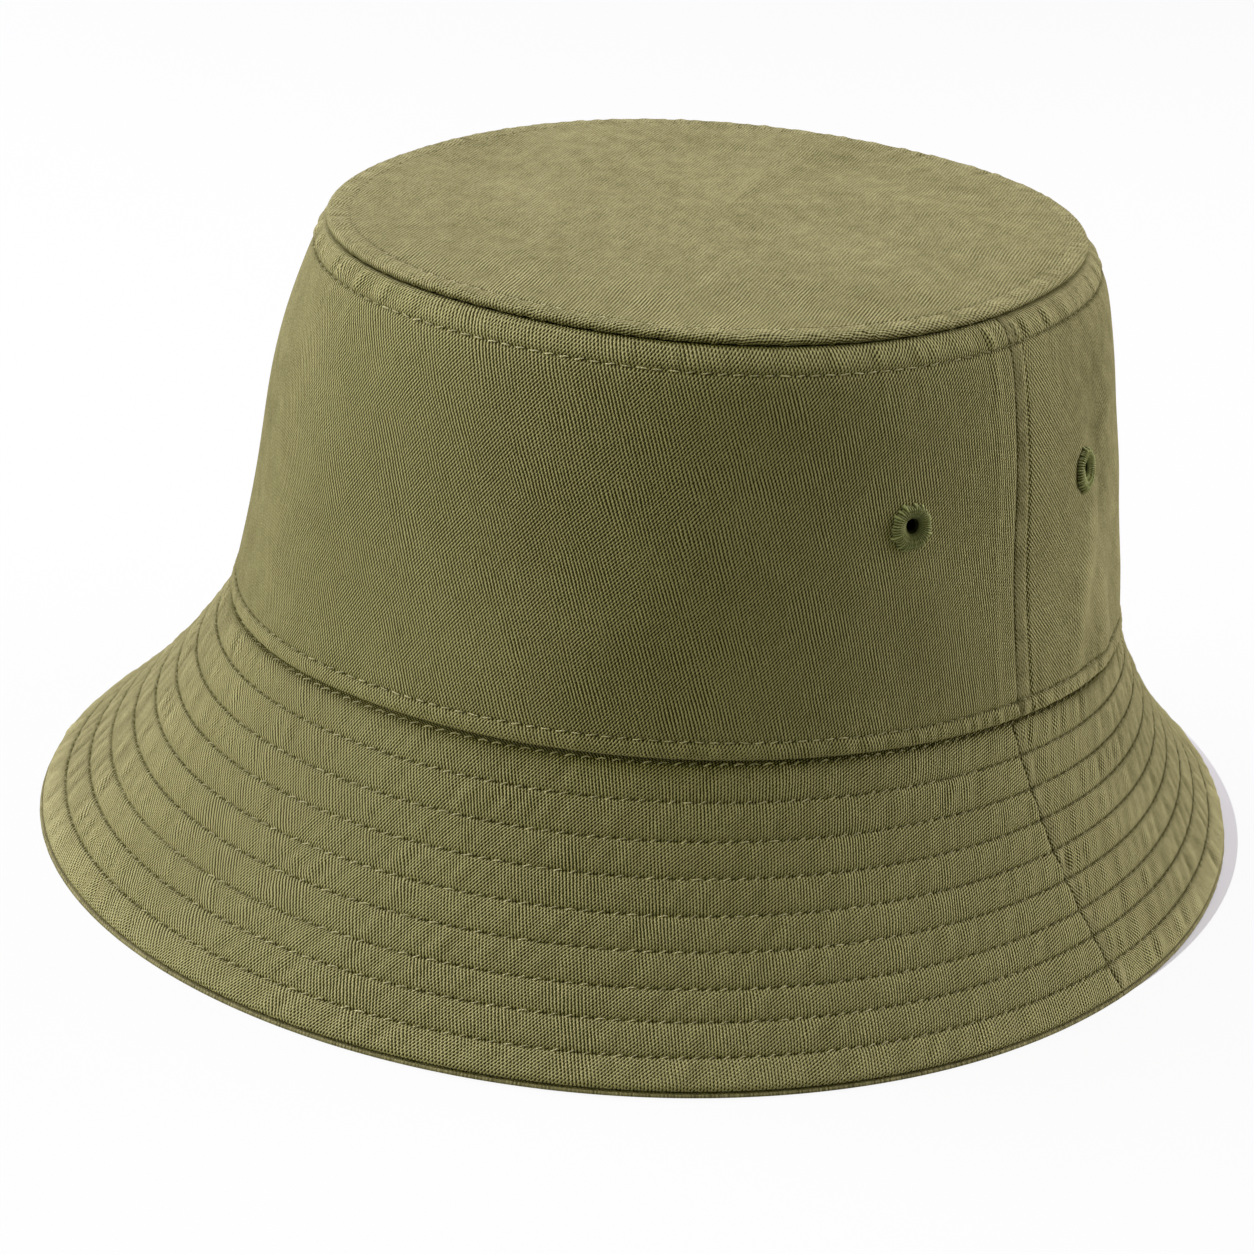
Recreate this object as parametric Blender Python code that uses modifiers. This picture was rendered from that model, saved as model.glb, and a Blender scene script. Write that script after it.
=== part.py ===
"""Bucket hat in washed cotton twill.

The hat stands on its brim edge at z = 0 and its front faces -Y, so +X is the wearer's left. Every
layer of cloth is its own solid: a round tip and two side panels with turned hems, a brim of two
outer layers stitched in rows over an interlining, a sweatband, the tapes that cover the inside
seams and four sewn eyelets.
"""

import math
from types import SimpleNamespace

import bmesh
import bpy
import numpy as np
from mathutils import Vector

# Cloth, in metres
CLOTH = 0.0007
GAP = 0.0003
INTERLINING = 0.0004
BAND = 0.0008
TAPE = 0.0005

# Base seam, where the crown meets the brim
BASE_HALF_LENGTH = 0.1022
BASE_HALF_WIDTH = 0.090
BASE_SQUARENESS = 2.145
BASE_HEIGHT = 0.0515
BASE_WAVE = -0.00255
BASE_CENTRE = (0.0005, -0.0017)

# Tip seam, where the side panels meet the round tip, turned and tilted a little as soft crowns are
TIP_HALF_LENGTH = 0.0845
TIP_HALF_WIDTH = 0.075
TIP_SQUARENESS = 2.2
TIP_HEIGHT = 0.1338
TIP_CENTRE = (0.0018, -0.0073)
TIP_TWIST = 0.189
TIP_TILT = 0.0248
TIP_DOME = 0.0012

# Brim edge, which sways in and out three times round the hat
EDGE_HALF_LENGTH = 0.1446
EDGE_HALF_WIDTH = 0.1243
EDGE_CENTRE = (-0.0007, -0.002)
EDGE_HEIGHT = 0.0006
EDGE_SWAY = 0.00214
SWAY_LOBES = 3
SWAY_PHASE = 1.25

# Side wall: share of the radius that swells at mid height and above it, and the roll below the tip
BELLY = 0.0244
SHOULDER = 0.0115
SHOULDER_ROLL = 0.00214
ROLL_DROP = 0.0075
CROWN_HEIGHT = TIP_HEIGHT - BASE_HEIGHT

# Angles of the left side seam on the wall and on the brim, and how far it leans over each of them
WALL_SEAM = -0.01
WALL_LEAN = -0.022
BRIM_SEAM = -0.021
BRIM_LEAN = 0.036

# Brim: how far it tucks under the crown, its hollow and its stitch rows
BRIM_TUCK = 0.0013
BRIM_HOLLOW = 0.00335
STITCH_ROWS = 9
CHANNEL_PUFF = 0.0005
EDGE_ROLL = 0.0012

# Hems and seam allowances
HEM_RADIUS = CLOTH + GAP / 2
HEM_DEPTH = 2 * HEM_RADIUS
BASE_ALLOWANCE = 0.009
TIP_ALLOWANCE = 0.0075
HALF_SEAM = 0.0018

# Rings of the wall: shares of its height, and drops below the tip seam where the shoulder rolls
WALL_ROWS = (0.12, 0.3, 0.5, 0.7, 0.83)
ROLL_ROWS = (0.0035, TIP_ALLOWANCE)

# Sweatband and tapes
BAND_WIDTH = 0.032
CROWN_TAPE_REACH = 0.0095
SIDE_TAPE_HALF_ANGLE = 0.055
SIDE_TAPE_INSET = 0.0014
SIDE_TAPE_CLEARANCE = 0.011

# Eyelets
EYELET_ANGLE = math.radians(18.7)
EYELET_SHARE = 0.555
EYELET_BORE = 0.0017
EYELET_WAIST = 0.0027
EYELET_RADIUS = 0.0053
EYELET_STEPS = 14
HOLE_CUT = 0.008

# Block that the rolled brim edge is cut flat against
RESTING_BLOCK = 0.4

# Facets: columns on one half of the hat and steps in a turned hem
COLUMNS = 22
HEM_STEPS = 4
UP = np.array([0.0, 0.0, 1.0])

# Colours of the finishes
TWILL_OLIVE = (0.215, 0.203, 0.098, 1)
LINING_OLIVE = (0.19, 0.18, 0.088, 1)
THREAD_GREEN = (0.062, 0.072, 0.024, 1)
NATURAL_WHITE = (0.72, 0.70, 0.64, 1)


def clear_scene():
    for item in list(bpy.data.objects):
        bpy.data.objects.remove(item, do_unlink=True)


def make_collection(name):
    collection = bpy.data.collections.new(name)
    bpy.context.scene.collection.children.link(collection)
    return collection


def finish(name, colour, roughness):
    material = bpy.data.materials.new(name + "_finish")
    material.use_nodes = True
    shader = material.node_tree.nodes["Principled BSDF"]
    shader.inputs["Base Color"].default_value = colour
    shader.inputs["Roughness"].default_value = roughness
    shader.inputs["Metallic"].default_value = 0.0
    return material


def ring(angles, half_length, half_width, squareness, centre, height, twist=0.0):
    """Level outline between an ellipse and a rounded rectangle, turned about its centre."""
    across = np.cos(angles - twist)
    along = np.sin(angles - twist)
    reach = (np.abs(across) ** squareness + np.abs(along) ** squareness) ** (-1 / squareness)
    wide = half_width * across * reach
    long = half_length * along * reach
    x = centre[0] + wide * math.cos(twist) - long * math.sin(twist)
    y = centre[1] + wide * math.sin(twist) + long * math.cos(twist)
    return np.stack([x, y, np.full_like(x, height)], axis=-1)


def base_seam(angles):
    level = ring(angles, BASE_HALF_LENGTH, BASE_HALF_WIDTH, BASE_SQUARENESS, BASE_CENTRE, BASE_HEIGHT)
    return level + np.outer(BASE_WAVE * np.sin(2 * angles), UP)


def tip_seam(angles):
    size = (TIP_HALF_LENGTH, TIP_HALF_WIDTH, TIP_SQUARENESS)
    level = ring(angles, *size, TIP_CENTRE, TIP_HEIGHT, TIP_TWIST)
    return level + np.outer(TIP_TILT * (level[:, 0] - TIP_CENTRE[0]), UP)


def outward(outline, angles):
    """Level unit normals of an outline, found from a short step along it."""
    step = 1e-4
    run = outline(angles + step) - outline(angles - step)
    normal = np.stack([run[:, 1], -run[:, 0], np.zeros_like(angles)], axis=-1)
    return normal / np.linalg.norm(normal, axis=1, keepdims=True)


def brim_edge(angles):
    def even(turn):
        return ring(turn, EDGE_HALF_LENGTH, EDGE_HALF_WIDTH, 2, EDGE_CENTRE, EDGE_HEIGHT)

    sway = EDGE_SWAY * np.cos(SWAY_LOBES * angles + SWAY_PHASE)
    return even(angles) + sway[:, None] * outward(even, angles)


def wall(angles, rise, inset=0.0):
    """Crown wall at a rise above the base seam, set in from the outer face of the cloth."""
    share = rise / CROWN_HEIGHT
    swell = 1 + BELLY * 4 * share * (1 - share) - SHOULDER * math.sin(2 * math.pi * share)
    centre = np.array([*BASE_CENTRE, 0]) * (1 - share) + np.array([*TIP_CENTRE, 0]) * share

    def outline(turn):
        straight = base_seam(turn) * (1 - share) + tip_seam(turn) * share
        return centre + (straight - centre) * np.array([swell, swell, 1])

    drop = (CROWN_HEIGHT - rise) / ROLL_DROP
    roll = SHOULDER_ROLL * drop * math.exp(1 - drop)
    return outline(angles) + (roll - inset) * outward(outline, angles)


def tip(angles, inset, depth):
    """Round top, set in from the tip seam and down from its gently domed upper face."""
    points = tip_seam(angles) - inset * outward(tip_seam, angles)
    share = 1 - inset / TIP_HALF_WIDTH
    lift = HEM_DEPTH + GAP / 2 + TIP_DOME * (1 - share**2) - depth
    return points + lift * UP


def tip_scaled(angles, share):
    """Inner ring of the round top, drawn in towards its middle."""
    centre = np.array([*TIP_CENTRE, TIP_HEIGHT])
    points = centre + (tip_seam(angles) - centre) * share
    return points + (HEM_DEPTH + GAP / 2 + TIP_DOME * (1 - share**2)) * UP


def brim_section(angles):
    """Seam, outward direction, run to the edge, square-up direction and slope of the brim."""
    seam = base_seam(angles)
    out = outward(base_seam, angles)
    run = brim_edge(angles) - seam
    reach = np.sum(run * out, axis=1)
    drop = -run[:, 2]
    length = np.hypot(reach, drop)
    square = (drop[:, None] * out + reach[:, None] * UP) / length[:, None]
    return SimpleNamespace(
        seam=seam, out=out, run=run, square=square, length=length, level=reach / length, slope=drop / length
    )


def half_angles(seam, front):
    """Columns of one half of the hat, between the left side seam and its mirror image."""
    if front:
        return np.linspace(-math.pi - seam + HALF_SEAM, seam - HALF_SEAM, COLUMNS + 1)
    return np.linspace(seam + HALF_SEAM, math.pi - seam - HALF_SEAM, COLUMNS + 1)


def wall_seam(rise):
    return WALL_SEAM + WALL_LEAN * rise / CROWN_HEIGHT


def brim_angles(share, front):
    return half_angles(BRIM_SEAM + BRIM_LEAN * share, front)


def brim(share, depth, front, short=0.0):
    """Ring of the brim at a share of its width, short of that by a length, below its upper face."""
    lay = brim_section(brim_angles(share, front))
    part = share - short / lay.length
    below = BRIM_TUCK * (1 - part) + depth + BRIM_HOLLOW * 4 * part * (1 - part)
    return lay.seam + part[:, None] * lay.run - below[:, None] * lay.square


def brim_corner(inset, depth, front):
    """Ring where a brim layer turns up inside the crown, at an inset behind the wall's outer face."""
    lay = brim_section(brim_angles(0.0, front))
    rise = (inset * lay.slope - BRIM_TUCK - depth) / lay.level
    return lay.seam - inset * lay.out + np.outer(rise, UP)


def brim_collar(inset, front):
    return wall(brim_angles(0.0, front), BASE_ALLOWANCE, inset)


def half_circle(radius):
    """Steps round a turned hem: how far across it and how far out of its fold line."""
    turns = [math.pi * step / HEM_STEPS for step in range(HEM_STEPS + 1)]
    return [(radius - radius * math.cos(turn), radius - radius * math.sin(turn)) for turn in turns]


def loft(name, rows, material, collection, thickness, offset, closed=False):
    """Cloth shell through rings of equal count, thickened by Solidify."""
    count = len(rows[0])
    columns = count if closed else count - 1
    faces = []
    for row in range(len(rows) - 1):
        for column in range(columns):
            near = row * count + column
            side = row * count + (column + 1) % count
            faces.append((near, side, side + count, near + count))
    mesh = bpy.data.meshes.new(name)
    mesh.from_pydata(np.concatenate(rows).tolist(), [], faces)
    shape = bmesh.new()
    shape.from_mesh(mesh)
    bmesh.ops.remove_doubles(shape, verts=shape.verts, dist=1e-6)
    shape.to_mesh(mesh)
    shape.free()
    mesh.materials.append(material)
    mesh.shade_smooth()
    mesh.set_sharp_from_angle(angle=math.radians(40))
    piece = bpy.data.objects.new(name, mesh)
    collection.objects.link(piece)
    shell = piece.modifiers.new("cloth", "SOLIDIFY")
    shell.thickness = thickness
    shell.offset = offset
    shell.use_even_offset = True
    return piece


def cut(piece, cutter):
    modifier = piece.modifiers.new("cut_" + cutter.name, "BOOLEAN")
    modifier.operation = "DIFFERENCE"
    modifier.solver = "EXACT"
    modifier.object = cutter


def keep_as_cutter(cutter, name, collection):
    cutter.name = name
    cutter.hide_render = True
    cutter.display_type = "WIRE"
    for owner in list(cutter.users_collection):
        owner.objects.unlink(cutter)
    collection.objects.link(cutter)
    return cutter


def side_panel(name, front, collection):
    """Half of the crown wall, with its top and bottom edges turned inside as hems."""
    top = CROWN_HEIGHT - GAP / 2
    section = [(BASE_ALLOWANCE, HEM_DEPTH)]
    section += [(out, HEM_DEPTH - across) for across, out in half_circle(HEM_RADIUS)]
    section += [(CROWN_HEIGHT * share, 0.0) for share in WALL_ROWS]
    section += [(top - drop, 0.0) for drop in reversed(ROLL_ROWS)]
    section += [(top - out, across) for across, out in half_circle(HEM_RADIUS)]
    section += [(top - drop, HEM_DEPTH) for drop in ROLL_ROWS]
    rows = [wall(half_angles(wall_seam(rise), front), rise, inset) for rise, inset in section]
    return loft(name, rows, finish(name, TWILL_OLIVE, 0.9), collection, CLOTH, -1)


def crown_tip(collection):
    """Round top whose rim is turned under all the way round."""
    angles = np.linspace(0, 2 * math.pi, 2 * COLUMNS, endpoint=False)
    rows = [tip(angles, TIP_ALLOWANCE, HEM_DEPTH)]
    rows += [tip(angles, out, HEM_DEPTH - across) for across, out in half_circle(HEM_RADIUS)]
    rows += [tip_scaled(angles, share) for share in (0.94, 0.8, 0.6, 0.36, 0.13, 0.0)]
    name = "crown_tip"
    return loft(name, rows, finish(name, TWILL_OLIVE, 0.9), collection, CLOTH, -1, closed=True)


def brim_top(name, front, collection):
    """Upper brim layer: puffed channels between stitch rows, and a collar sewn inside the crown."""
    rows = [brim(1.0, 0.0, front, short=EDGE_ROLL)]
    for row in reversed(range(STITCH_ROWS)):
        rows.append(brim((row + 0.5) / STITCH_ROWS, -CHANNEL_PUFF, front))
        rows.append(brim(row / STITCH_ROWS, 0.0, front))
    inset = HEM_DEPTH + GAP
    rows.append(brim_corner(inset, 0.0, front))
    rows.append(brim_collar(inset, front))
    return loft(name, rows, finish(name, TWILL_OLIVE, 0.9), collection, CLOTH, -1)


def brim_interlining(name, front, collection):
    """Plain stiffener that lies between the two brim layers and stops short of both seams."""
    depth = CLOTH + GAP + INTERLINING / 2
    rows = [brim(share, depth, front) for share in np.linspace(0.93, 0.03, 6)]
    return loft(name, rows, finish(name, NATURAL_WHITE, 0.95), collection, INTERLINING, 0)


def brim_under(name, front, collection):
    """Lower brim layer, rolled up round the edge of the upper one and cut flat where the hat rests."""
    depth = 1.5 * CLOTH + 2 * GAP + INTERLINING
    radius = depth - EDGE_ROLL
    rows = [brim(1.0, CLOTH, front, short=CLOTH / 2)]
    for turn in (0.0, 0.25, 0.5):
        short = CLOTH / 2 + radius - radius * math.cos(math.pi * turn)
        rows.append(brim(1.0, EDGE_ROLL + radius * math.sin(math.pi * turn), front, short=short))
    rows += [brim(share, depth, front) for share in np.linspace(0.9, 0.02, 6)]
    inset = HEM_DEPTH + 2 * GAP + 1.5 * CLOTH
    rows.append(brim_corner(inset, depth, front))
    rows.append(brim_collar(inset, front))
    return loft(name, rows, finish(name, TWILL_OLIVE, 0.9), collection, CLOTH, 0)


def sweatband(collection):
    """Soft band inside the base of the crown."""
    angles = np.linspace(0, 2 * math.pi, 2 * COLUMNS, endpoint=False)
    inset = HEM_DEPTH + 4 * GAP + 2 * CLOTH + BAND / 2
    rows = [wall(angles, BAND_WIDTH * share, inset) for share in np.linspace(0, 1, 4)]
    name = "sweatband"
    return loft(name, rows, finish(name, LINING_OLIVE, 0.85), collection, BAND, 0, closed=True)


def crown_seam_tape(collection):
    """Tape bent into the corner under the tip, over both seam allowances."""
    angles = np.linspace(0, 2 * math.pi, 2 * COLUMNS, endpoint=False)
    behind = HEM_DEPTH + GAP + TAPE / 2
    drops = (CROWN_TAPE_REACH, *reversed(ROLL_ROWS), behind)
    rows = [wall(angles, CROWN_HEIGHT - drop, behind) for drop in drops]
    rows.append(tip(angles, 2 * behind, behind))
    rows.append(tip(angles, CROWN_TAPE_REACH, behind))
    name = "crown_seam_tape"
    return loft(name, rows, finish(name, LINING_OLIVE, 0.9), collection, TAPE, 0, closed=True)


def side_seam_tape(name, left, collection):
    """Strip down the inside of one side seam, between the crown tape and the brim's collar."""
    spread = np.linspace(-SIDE_TAPE_HALF_ANGLE, SIDE_TAPE_HALF_ANGLE, 3)
    rises = np.linspace(SIDE_TAPE_CLEARANCE, CROWN_HEIGHT - SIDE_TAPE_CLEARANCE, 6)
    seams = [wall_seam(rise) if left else math.pi - wall_seam(rise) for rise in rises]
    rows = [wall(seam + spread, rise, SIDE_TAPE_INSET) for seam, rise in zip(seams, rises)]
    return loft(name, rows, finish(name, LINING_OLIVE, 0.9), collection, TAPE, 0)


def eyelet_pose(angle):
    """Middle of the wall's cloth at an eyelet, and the turn that faces its axis outwards."""
    rise = CROWN_HEIGHT * EYELET_SHARE
    step = 1e-3
    around = wall(np.array([angle + step]), rise)[0] - wall(np.array([angle - step]), rise)[0]
    upward = wall(np.array([angle]), rise + step)[0] - wall(np.array([angle]), rise - step)[0]
    normal = Vector(np.cross(around, upward)).normalized()
    middle = Vector(wall(np.array([angle]), rise)[0]) - normal * (CLOTH / 2)
    return middle, normal.to_track_quat("Z", "Y").to_euler()


def eyelet(name, angle, panel, parts, cutters):
    """Ring of close stitches through the wall: a front lip, a waist in the hole and a back lip."""
    face = CLOTH / 2 + 1.5 * GAP
    crest = face + CLOTH
    profile = [
        (EYELET_BORE, face),
        (EYELET_BORE + GAP, crest),
        (EYELET_RADIUS - CLOTH, crest),
        (EYELET_RADIUS, face + GAP),
        (EYELET_RADIUS, face),
        (EYELET_WAIST, face),
        (EYELET_WAIST, -face),
        (EYELET_RADIUS - CLOTH, -face),
        (EYELET_RADIUS - CLOTH - GAP, -crest),
        (EYELET_BORE + GAP, -crest),
        (EYELET_BORE, -face),
    ]
    count = len(profile)
    mesh = bpy.data.meshes.new(name)
    edges = [(point, (point + 1) % count) for point in range(count)]
    mesh.from_pydata([(radius, 0, height) for radius, height in profile], edges, [])
    mesh.materials.append(finish(name, THREAD_GREEN, 0.8))
    piece = bpy.data.objects.new(name, mesh)
    parts.objects.link(piece)
    middle, turn = eyelet_pose(angle)
    piece.location = middle
    piece.rotation_euler = turn
    lathe = piece.modifiers.new("turned", "SCREW")
    lathe.steps = EYELET_STEPS
    lathe.render_steps = EYELET_STEPS
    lathe.use_merge_vertices = True
    lathe.merge_threshold = 1e-5
    lathe.use_smooth_shade = True
    bpy.ops.mesh.primitive_cylinder_add(
        vertices=EYELET_STEPS, radius=EYELET_WAIST + GAP, depth=HOLE_CUT, location=middle, rotation=turn
    )
    cut(panel, keep_as_cutter(bpy.context.object, name + "_hole", cutters))


def resting_plane(cutters):
    """Block below z = 0 that takes the rolled brim edge down to a flat."""
    bpy.ops.mesh.primitive_cube_add(size=RESTING_BLOCK, location=(0, 0, -RESTING_BLOCK / 2))
    return keep_as_cutter(bpy.context.object, "resting_plane", cutters)


def build_hat():
    clear_scene()
    parts = make_collection("bucket_hat")
    cutters = make_collection("bucket_hat_cutters")
    crown_tip(parts)
    panels = {half: side_panel("side_panel_" + half, half == "front", parts) for half in ("front", "rear")}
    ground = resting_plane(cutters)
    for half in ("front", "rear"):
        brim_top("brim_top_" + half, half == "front", parts)
        brim_interlining("brim_interlining_" + half, half == "front", parts)
        cut(brim_under("brim_under_" + half, half == "front", parts), ground)
    sweatband(parts)
    crown_seam_tape(parts)
    seam = wall_seam(CROWN_HEIGHT * EYELET_SHARE)
    for side in ("left", "right"):
        side_seam_tape("side_seam_tape_" + side, side == "left", parts)
        for half, way in (("front", -1), ("rear", 1)):
            angle = seam + way * EYELET_ANGLE
            angle = angle if side == "left" else math.pi - angle
            eyelet(f"eyelet_{side}_{half}", angle, panels[half], parts, cutters)


build_hat()
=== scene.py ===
# %% [markdown]
# # A bucket hat in washed olive twill
# The hat is a round tip, two side panels and a brim of two layers that nine rows of stitches hold
# together. The packed solids give the size and place of every piece. This lesson lays finely
# rippled cloth where those solids are, sews it with thread and gives it a woven finish.

# %% Load the frame
import math
from collections import namedtuple
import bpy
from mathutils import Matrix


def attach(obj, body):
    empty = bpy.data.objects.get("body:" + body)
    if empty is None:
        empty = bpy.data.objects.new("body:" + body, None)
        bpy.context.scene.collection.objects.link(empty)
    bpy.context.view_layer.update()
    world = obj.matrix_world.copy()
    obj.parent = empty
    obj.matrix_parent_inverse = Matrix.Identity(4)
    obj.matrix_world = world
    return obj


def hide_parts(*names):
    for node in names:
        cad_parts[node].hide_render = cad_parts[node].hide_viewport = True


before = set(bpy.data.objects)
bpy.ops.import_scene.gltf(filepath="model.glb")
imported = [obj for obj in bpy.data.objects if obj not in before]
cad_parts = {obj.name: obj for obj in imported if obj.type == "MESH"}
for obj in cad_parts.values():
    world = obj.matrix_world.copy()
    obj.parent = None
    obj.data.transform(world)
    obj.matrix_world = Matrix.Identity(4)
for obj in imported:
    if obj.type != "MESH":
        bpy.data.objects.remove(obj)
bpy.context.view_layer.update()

from types import SimpleNamespace

import bpy
import numpy as np
from mathutils import Matrix

# %% [markdown]
# ## Camera
# The picture is taken from the front left of the wearer, a little above the brim, with a long lens
# and a slight roll. The focal length is kept in pixels of the square picture and turned into
# millimetres on a sensor, because that is what a camera object stores.

# %% Camera
PICTURE = 1254
FOCAL_PIXELS = 3444.8
SENSOR = 36.0
AZIMUTH = math.radians(38.77)
ELEVATION = math.radians(22.89)
ROLL = math.radians(5.86)
DISTANCE = 0.7616
AIM = np.array([0.0, -0.0017, 0.03885])
AIM_SIDEWAYS = -0.0113

UP = np.array([0.0, 0.0, 1.0])
level = np.array([math.cos(AZIMUTH), math.sin(AZIMUTH), 0.0])
toward_eye = np.array([math.sin(AZIMUTH), -math.cos(AZIMUTH), 0.0])
back = toward_eye * math.cos(ELEVATION) + UP * math.sin(ELEVATION)
upright = np.cross(back, level)
across = math.cos(ROLL) * level + math.sin(ROLL) * upright
upward = math.cos(ROLL) * upright - math.sin(ROLL) * level
eye = AIM + AIM_SIDEWAYS * level + DISTANCE * back

camera_data = bpy.data.cameras.new("camera")
camera_data.sensor_width = SENSOR
camera_data.lens = FOCAL_PIXELS / PICTURE * SENSOR
camera = bpy.data.objects.new("camera", camera_data)
bpy.context.scene.collection.objects.link(camera)
camera.matrix_world = Matrix.Translation(eye) @ Matrix(np.stack([across, upward, back], axis=1)).to_4x4()
bpy.context.scene.camera = camera
print("lens:", round(camera_data.lens, 1), "mm, eye:", eye.round(3))

# %% [markdown]
# ## Outlines
# Three outlines carry the whole hat: the base seam, the tip seam and the brim edge. Each is a curve
# between an ellipse and a rounded rectangle, which a head-shaped hat needs. The hat is soft, so the
# base seam rises and falls a little, the tip is turned and tilted, and the brim edge sways in and out.

# %% Outlines
Outline = namedtuple("Outline", "half_length half_width squareness x y height wave twist tilt")
BASE = Outline(0.1022, 0.090, 2.145, 0.0005, -0.0017, 0.0515, -0.00255, 0.0, 0.0)
TIP = Outline(0.0845, 0.075, 2.2, 0.0018, -0.0073, 0.1338, 0.0, 0.189, 0.0248)
EDGE = Outline(0.1446, 0.1243, 2.0, -0.0007, -0.0020, 0.0006, 0.0, 0.0, 0.0)
EDGE_SWAY = 0.00214
SWAY_LOBES = 3
SWAY_PHASE = 1.25
CROWN = TIP.height - BASE.height
STEP = 1e-4


def ring(turn, outline):
    """Closed outline: (|cos|^n + |sin|^n)^(-1/n) stretches a circle, which is then twisted and tilted."""
    over = np.cos(turn - outline.twist)
    along = np.sin(turn - outline.twist)
    power = outline.squareness
    reach = (np.abs(over) ** power + np.abs(along) ** power) ** (-1 / power)
    wide = outline.half_width * over * reach
    long = outline.half_length * along * reach
    x = wide * math.cos(outline.twist) - long * math.sin(outline.twist)
    y = wide * math.sin(outline.twist) + long * math.cos(outline.twist)
    z = outline.height + outline.wave * np.sin(2 * turn) + outline.tilt * x
    return np.stack([outline.x + x, outline.y + y, z], axis=-1)


def level_normal(line, turn):
    """Unit normal of an outline in the level plane: a short step along it, turned by a right angle."""
    run = line(turn + STEP) - line(turn - STEP)
    normal = np.stack([run[..., 1], -run[..., 0], np.zeros_like(turn)], axis=-1)
    return normal / np.linalg.norm(normal, axis=-1, keepdims=True)


def brim_edge(turn):
    """Brim edge: an ellipse moved in and out along its level normal, a few times round the hat."""
    sway = EDGE_SWAY * np.cos(SWAY_LOBES * turn + SWAY_PHASE)
    return ring(turn, EDGE) + sway[..., None] * level_normal(lambda angle: ring(angle, EDGE), turn)


def run_length(points):
    """Distance walked along a line of points, from 0 at its first."""
    steps = np.linalg.norm(np.diff(points, axis=0), axis=1)
    return np.concatenate([[0.0], np.cumsum(steps)])


# two turns of the hat, for tables of walked length, and one turn
ROUND = np.linspace(-1.5 * math.pi, 2.5 * math.pi, 5761)
ONCE = np.linspace(0, 2 * math.pi, 1441)
print("base seam:", round(float(run_length(ring(ONCE, BASE))[-1]), 4), "m round")

# %% [markdown]
# ## Carriers
# Every layer of cloth, every row of stitches and every tape is measured from a smooth carrier, so that
# nothing has to be fitted by eye. The first one is the crown wall. It runs from the base seam to the tip
# seam with a slight belly and a rounded shoulder.

# %% Carrier of the crown wall
CLOTH = 0.0007
GAP = 0.0003
STIFFENER = 0.0004
BELLY = 0.0244
SHOULDER = 0.0115
SHOULDER_ROLL = 0.00214
ROLL_DROP = 0.0075
FLAT_SHOULDER = -2.45
FLAT_SHOULDER_HALF = 0.5
SHOULDER_LOST = 0.8
HEM_RADIUS = CLOTH + GAP / 2
HEM_DEPTH = 2 * HEM_RADIUS
WALL_RADIUS = 0.085


def ease(value):
    """Smooth step from 0 to 1."""
    part = np.clip(value, 0, 1)
    return part * part * (3 - 2 * part)


def wrap(angle):
    """Angle brought between minus and plus half a turn."""
    return (angle + np.pi) % (2 * np.pi) - np.pi


def bell(value, half):
    """1 at zero, falling off to both sides."""
    return np.exp(-((value / half) ** 2))


def wall_line(turn, share):
    """Outline at a share of the crown's height: base and tip seam mixed, swollen about their middle."""
    swell = 1 + BELLY * 4 * share * (1 - share) - SHOULDER * np.sin(2 * np.pi * share)
    part = share[..., None]
    middle = np.array([BASE.x, BASE.y, 0.0]) * (1 - part) + np.array([TIP.x, TIP.y, 0.0]) * part
    straight = ring(turn, BASE) * (1 - part) + ring(turn, TIP) * part
    return middle + (straight - middle) * np.stack([swell, swell, np.ones_like(swell)], axis=-1)


def wall(turn, rise, proud):
    """Crown wall at a rise above the base seam, moved out along its level normal, with its shoulder."""
    turn, rise, proud = np.broadcast_arrays(turn, rise, proud)
    drop = (CROWN - rise) / ROLL_DROP
    flat = SHOULDER_LOST * bell(wrap(turn - FLAT_SHOULDER), FLAT_SHOULDER_HALF)
    roll = SHOULDER_ROLL * drop * np.exp(1 - drop) * (1 - flat)

    def line(angle):
        """The wall's outline at this rise."""
        return wall_line(angle, rise / CROWN)

    return line(turn) + (proud + roll)[..., None] * level_normal(line, turn)


print("crown wall:", round(CROWN, 4), "m high")

# %% [markdown]
# The brim runs from the base seam to the edge with a slight hollow, and sits a little below the seam,
# most at the front. The tip is a shallow dome inside its seam.

# %% Carriers of the brim and the tip
BRIM_TUCK = 0.0010
FRONT_TUCK = 0.0011
TUCK_MIDDLE = -1.2
TUCK_HALF = 0.55
BRIM_HOLLOW = 0.00335
TIP_DOME = 0.0012
TIP_PARALLEL = 0.014


def brim_lay(turn):
    """Seam, run to the edge, square-up direction, width and slope of the brim at each angle."""
    seam = ring(turn, BASE)
    out = level_normal(lambda angle: ring(angle, BASE), turn)
    run = brim_edge(turn) - seam
    reach = (run * out).sum(axis=-1)
    drop = -run[..., 2]
    width = np.hypot(reach, drop)
    square = (drop[..., None] * out + reach[..., None] * UP) / width[..., None]
    shares = {"flat": reach / width, "slope": drop / width}
    return SimpleNamespace(seam=seam, out=out, run=run, square=square, width=width, **shares)


def tuck(turn):
    """How far the brim sits below the base seam, most at the front, where the fold throws a shadow."""
    return BRIM_TUCK + FRONT_TUCK * bell(wrap(turn - TUCK_MIDDLE), TUCK_HALF)


def brim(turn, share, lift):
    """Brim at a share of its width: straight run, less its tuck and hollow, raised square to it."""
    lay = brim_lay(turn)
    rise = lift - tuck(turn) * (1 - share) - BRIM_HOLLOW * 4 * share * (1 - share)
    return lay.seam + share[..., None] * lay.run + rise[..., None] * lay.square


def brim_corner(turn, inset, below):
    """Where a brim layer turns up inside the crown, an inset behind the wall's outer face."""
    lay = brim_lay(turn)
    rise = (inset * lay.slope - tuck(turn) - below) / lay.flat
    return lay.seam - inset * lay.out + rise[..., None] * UP


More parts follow.
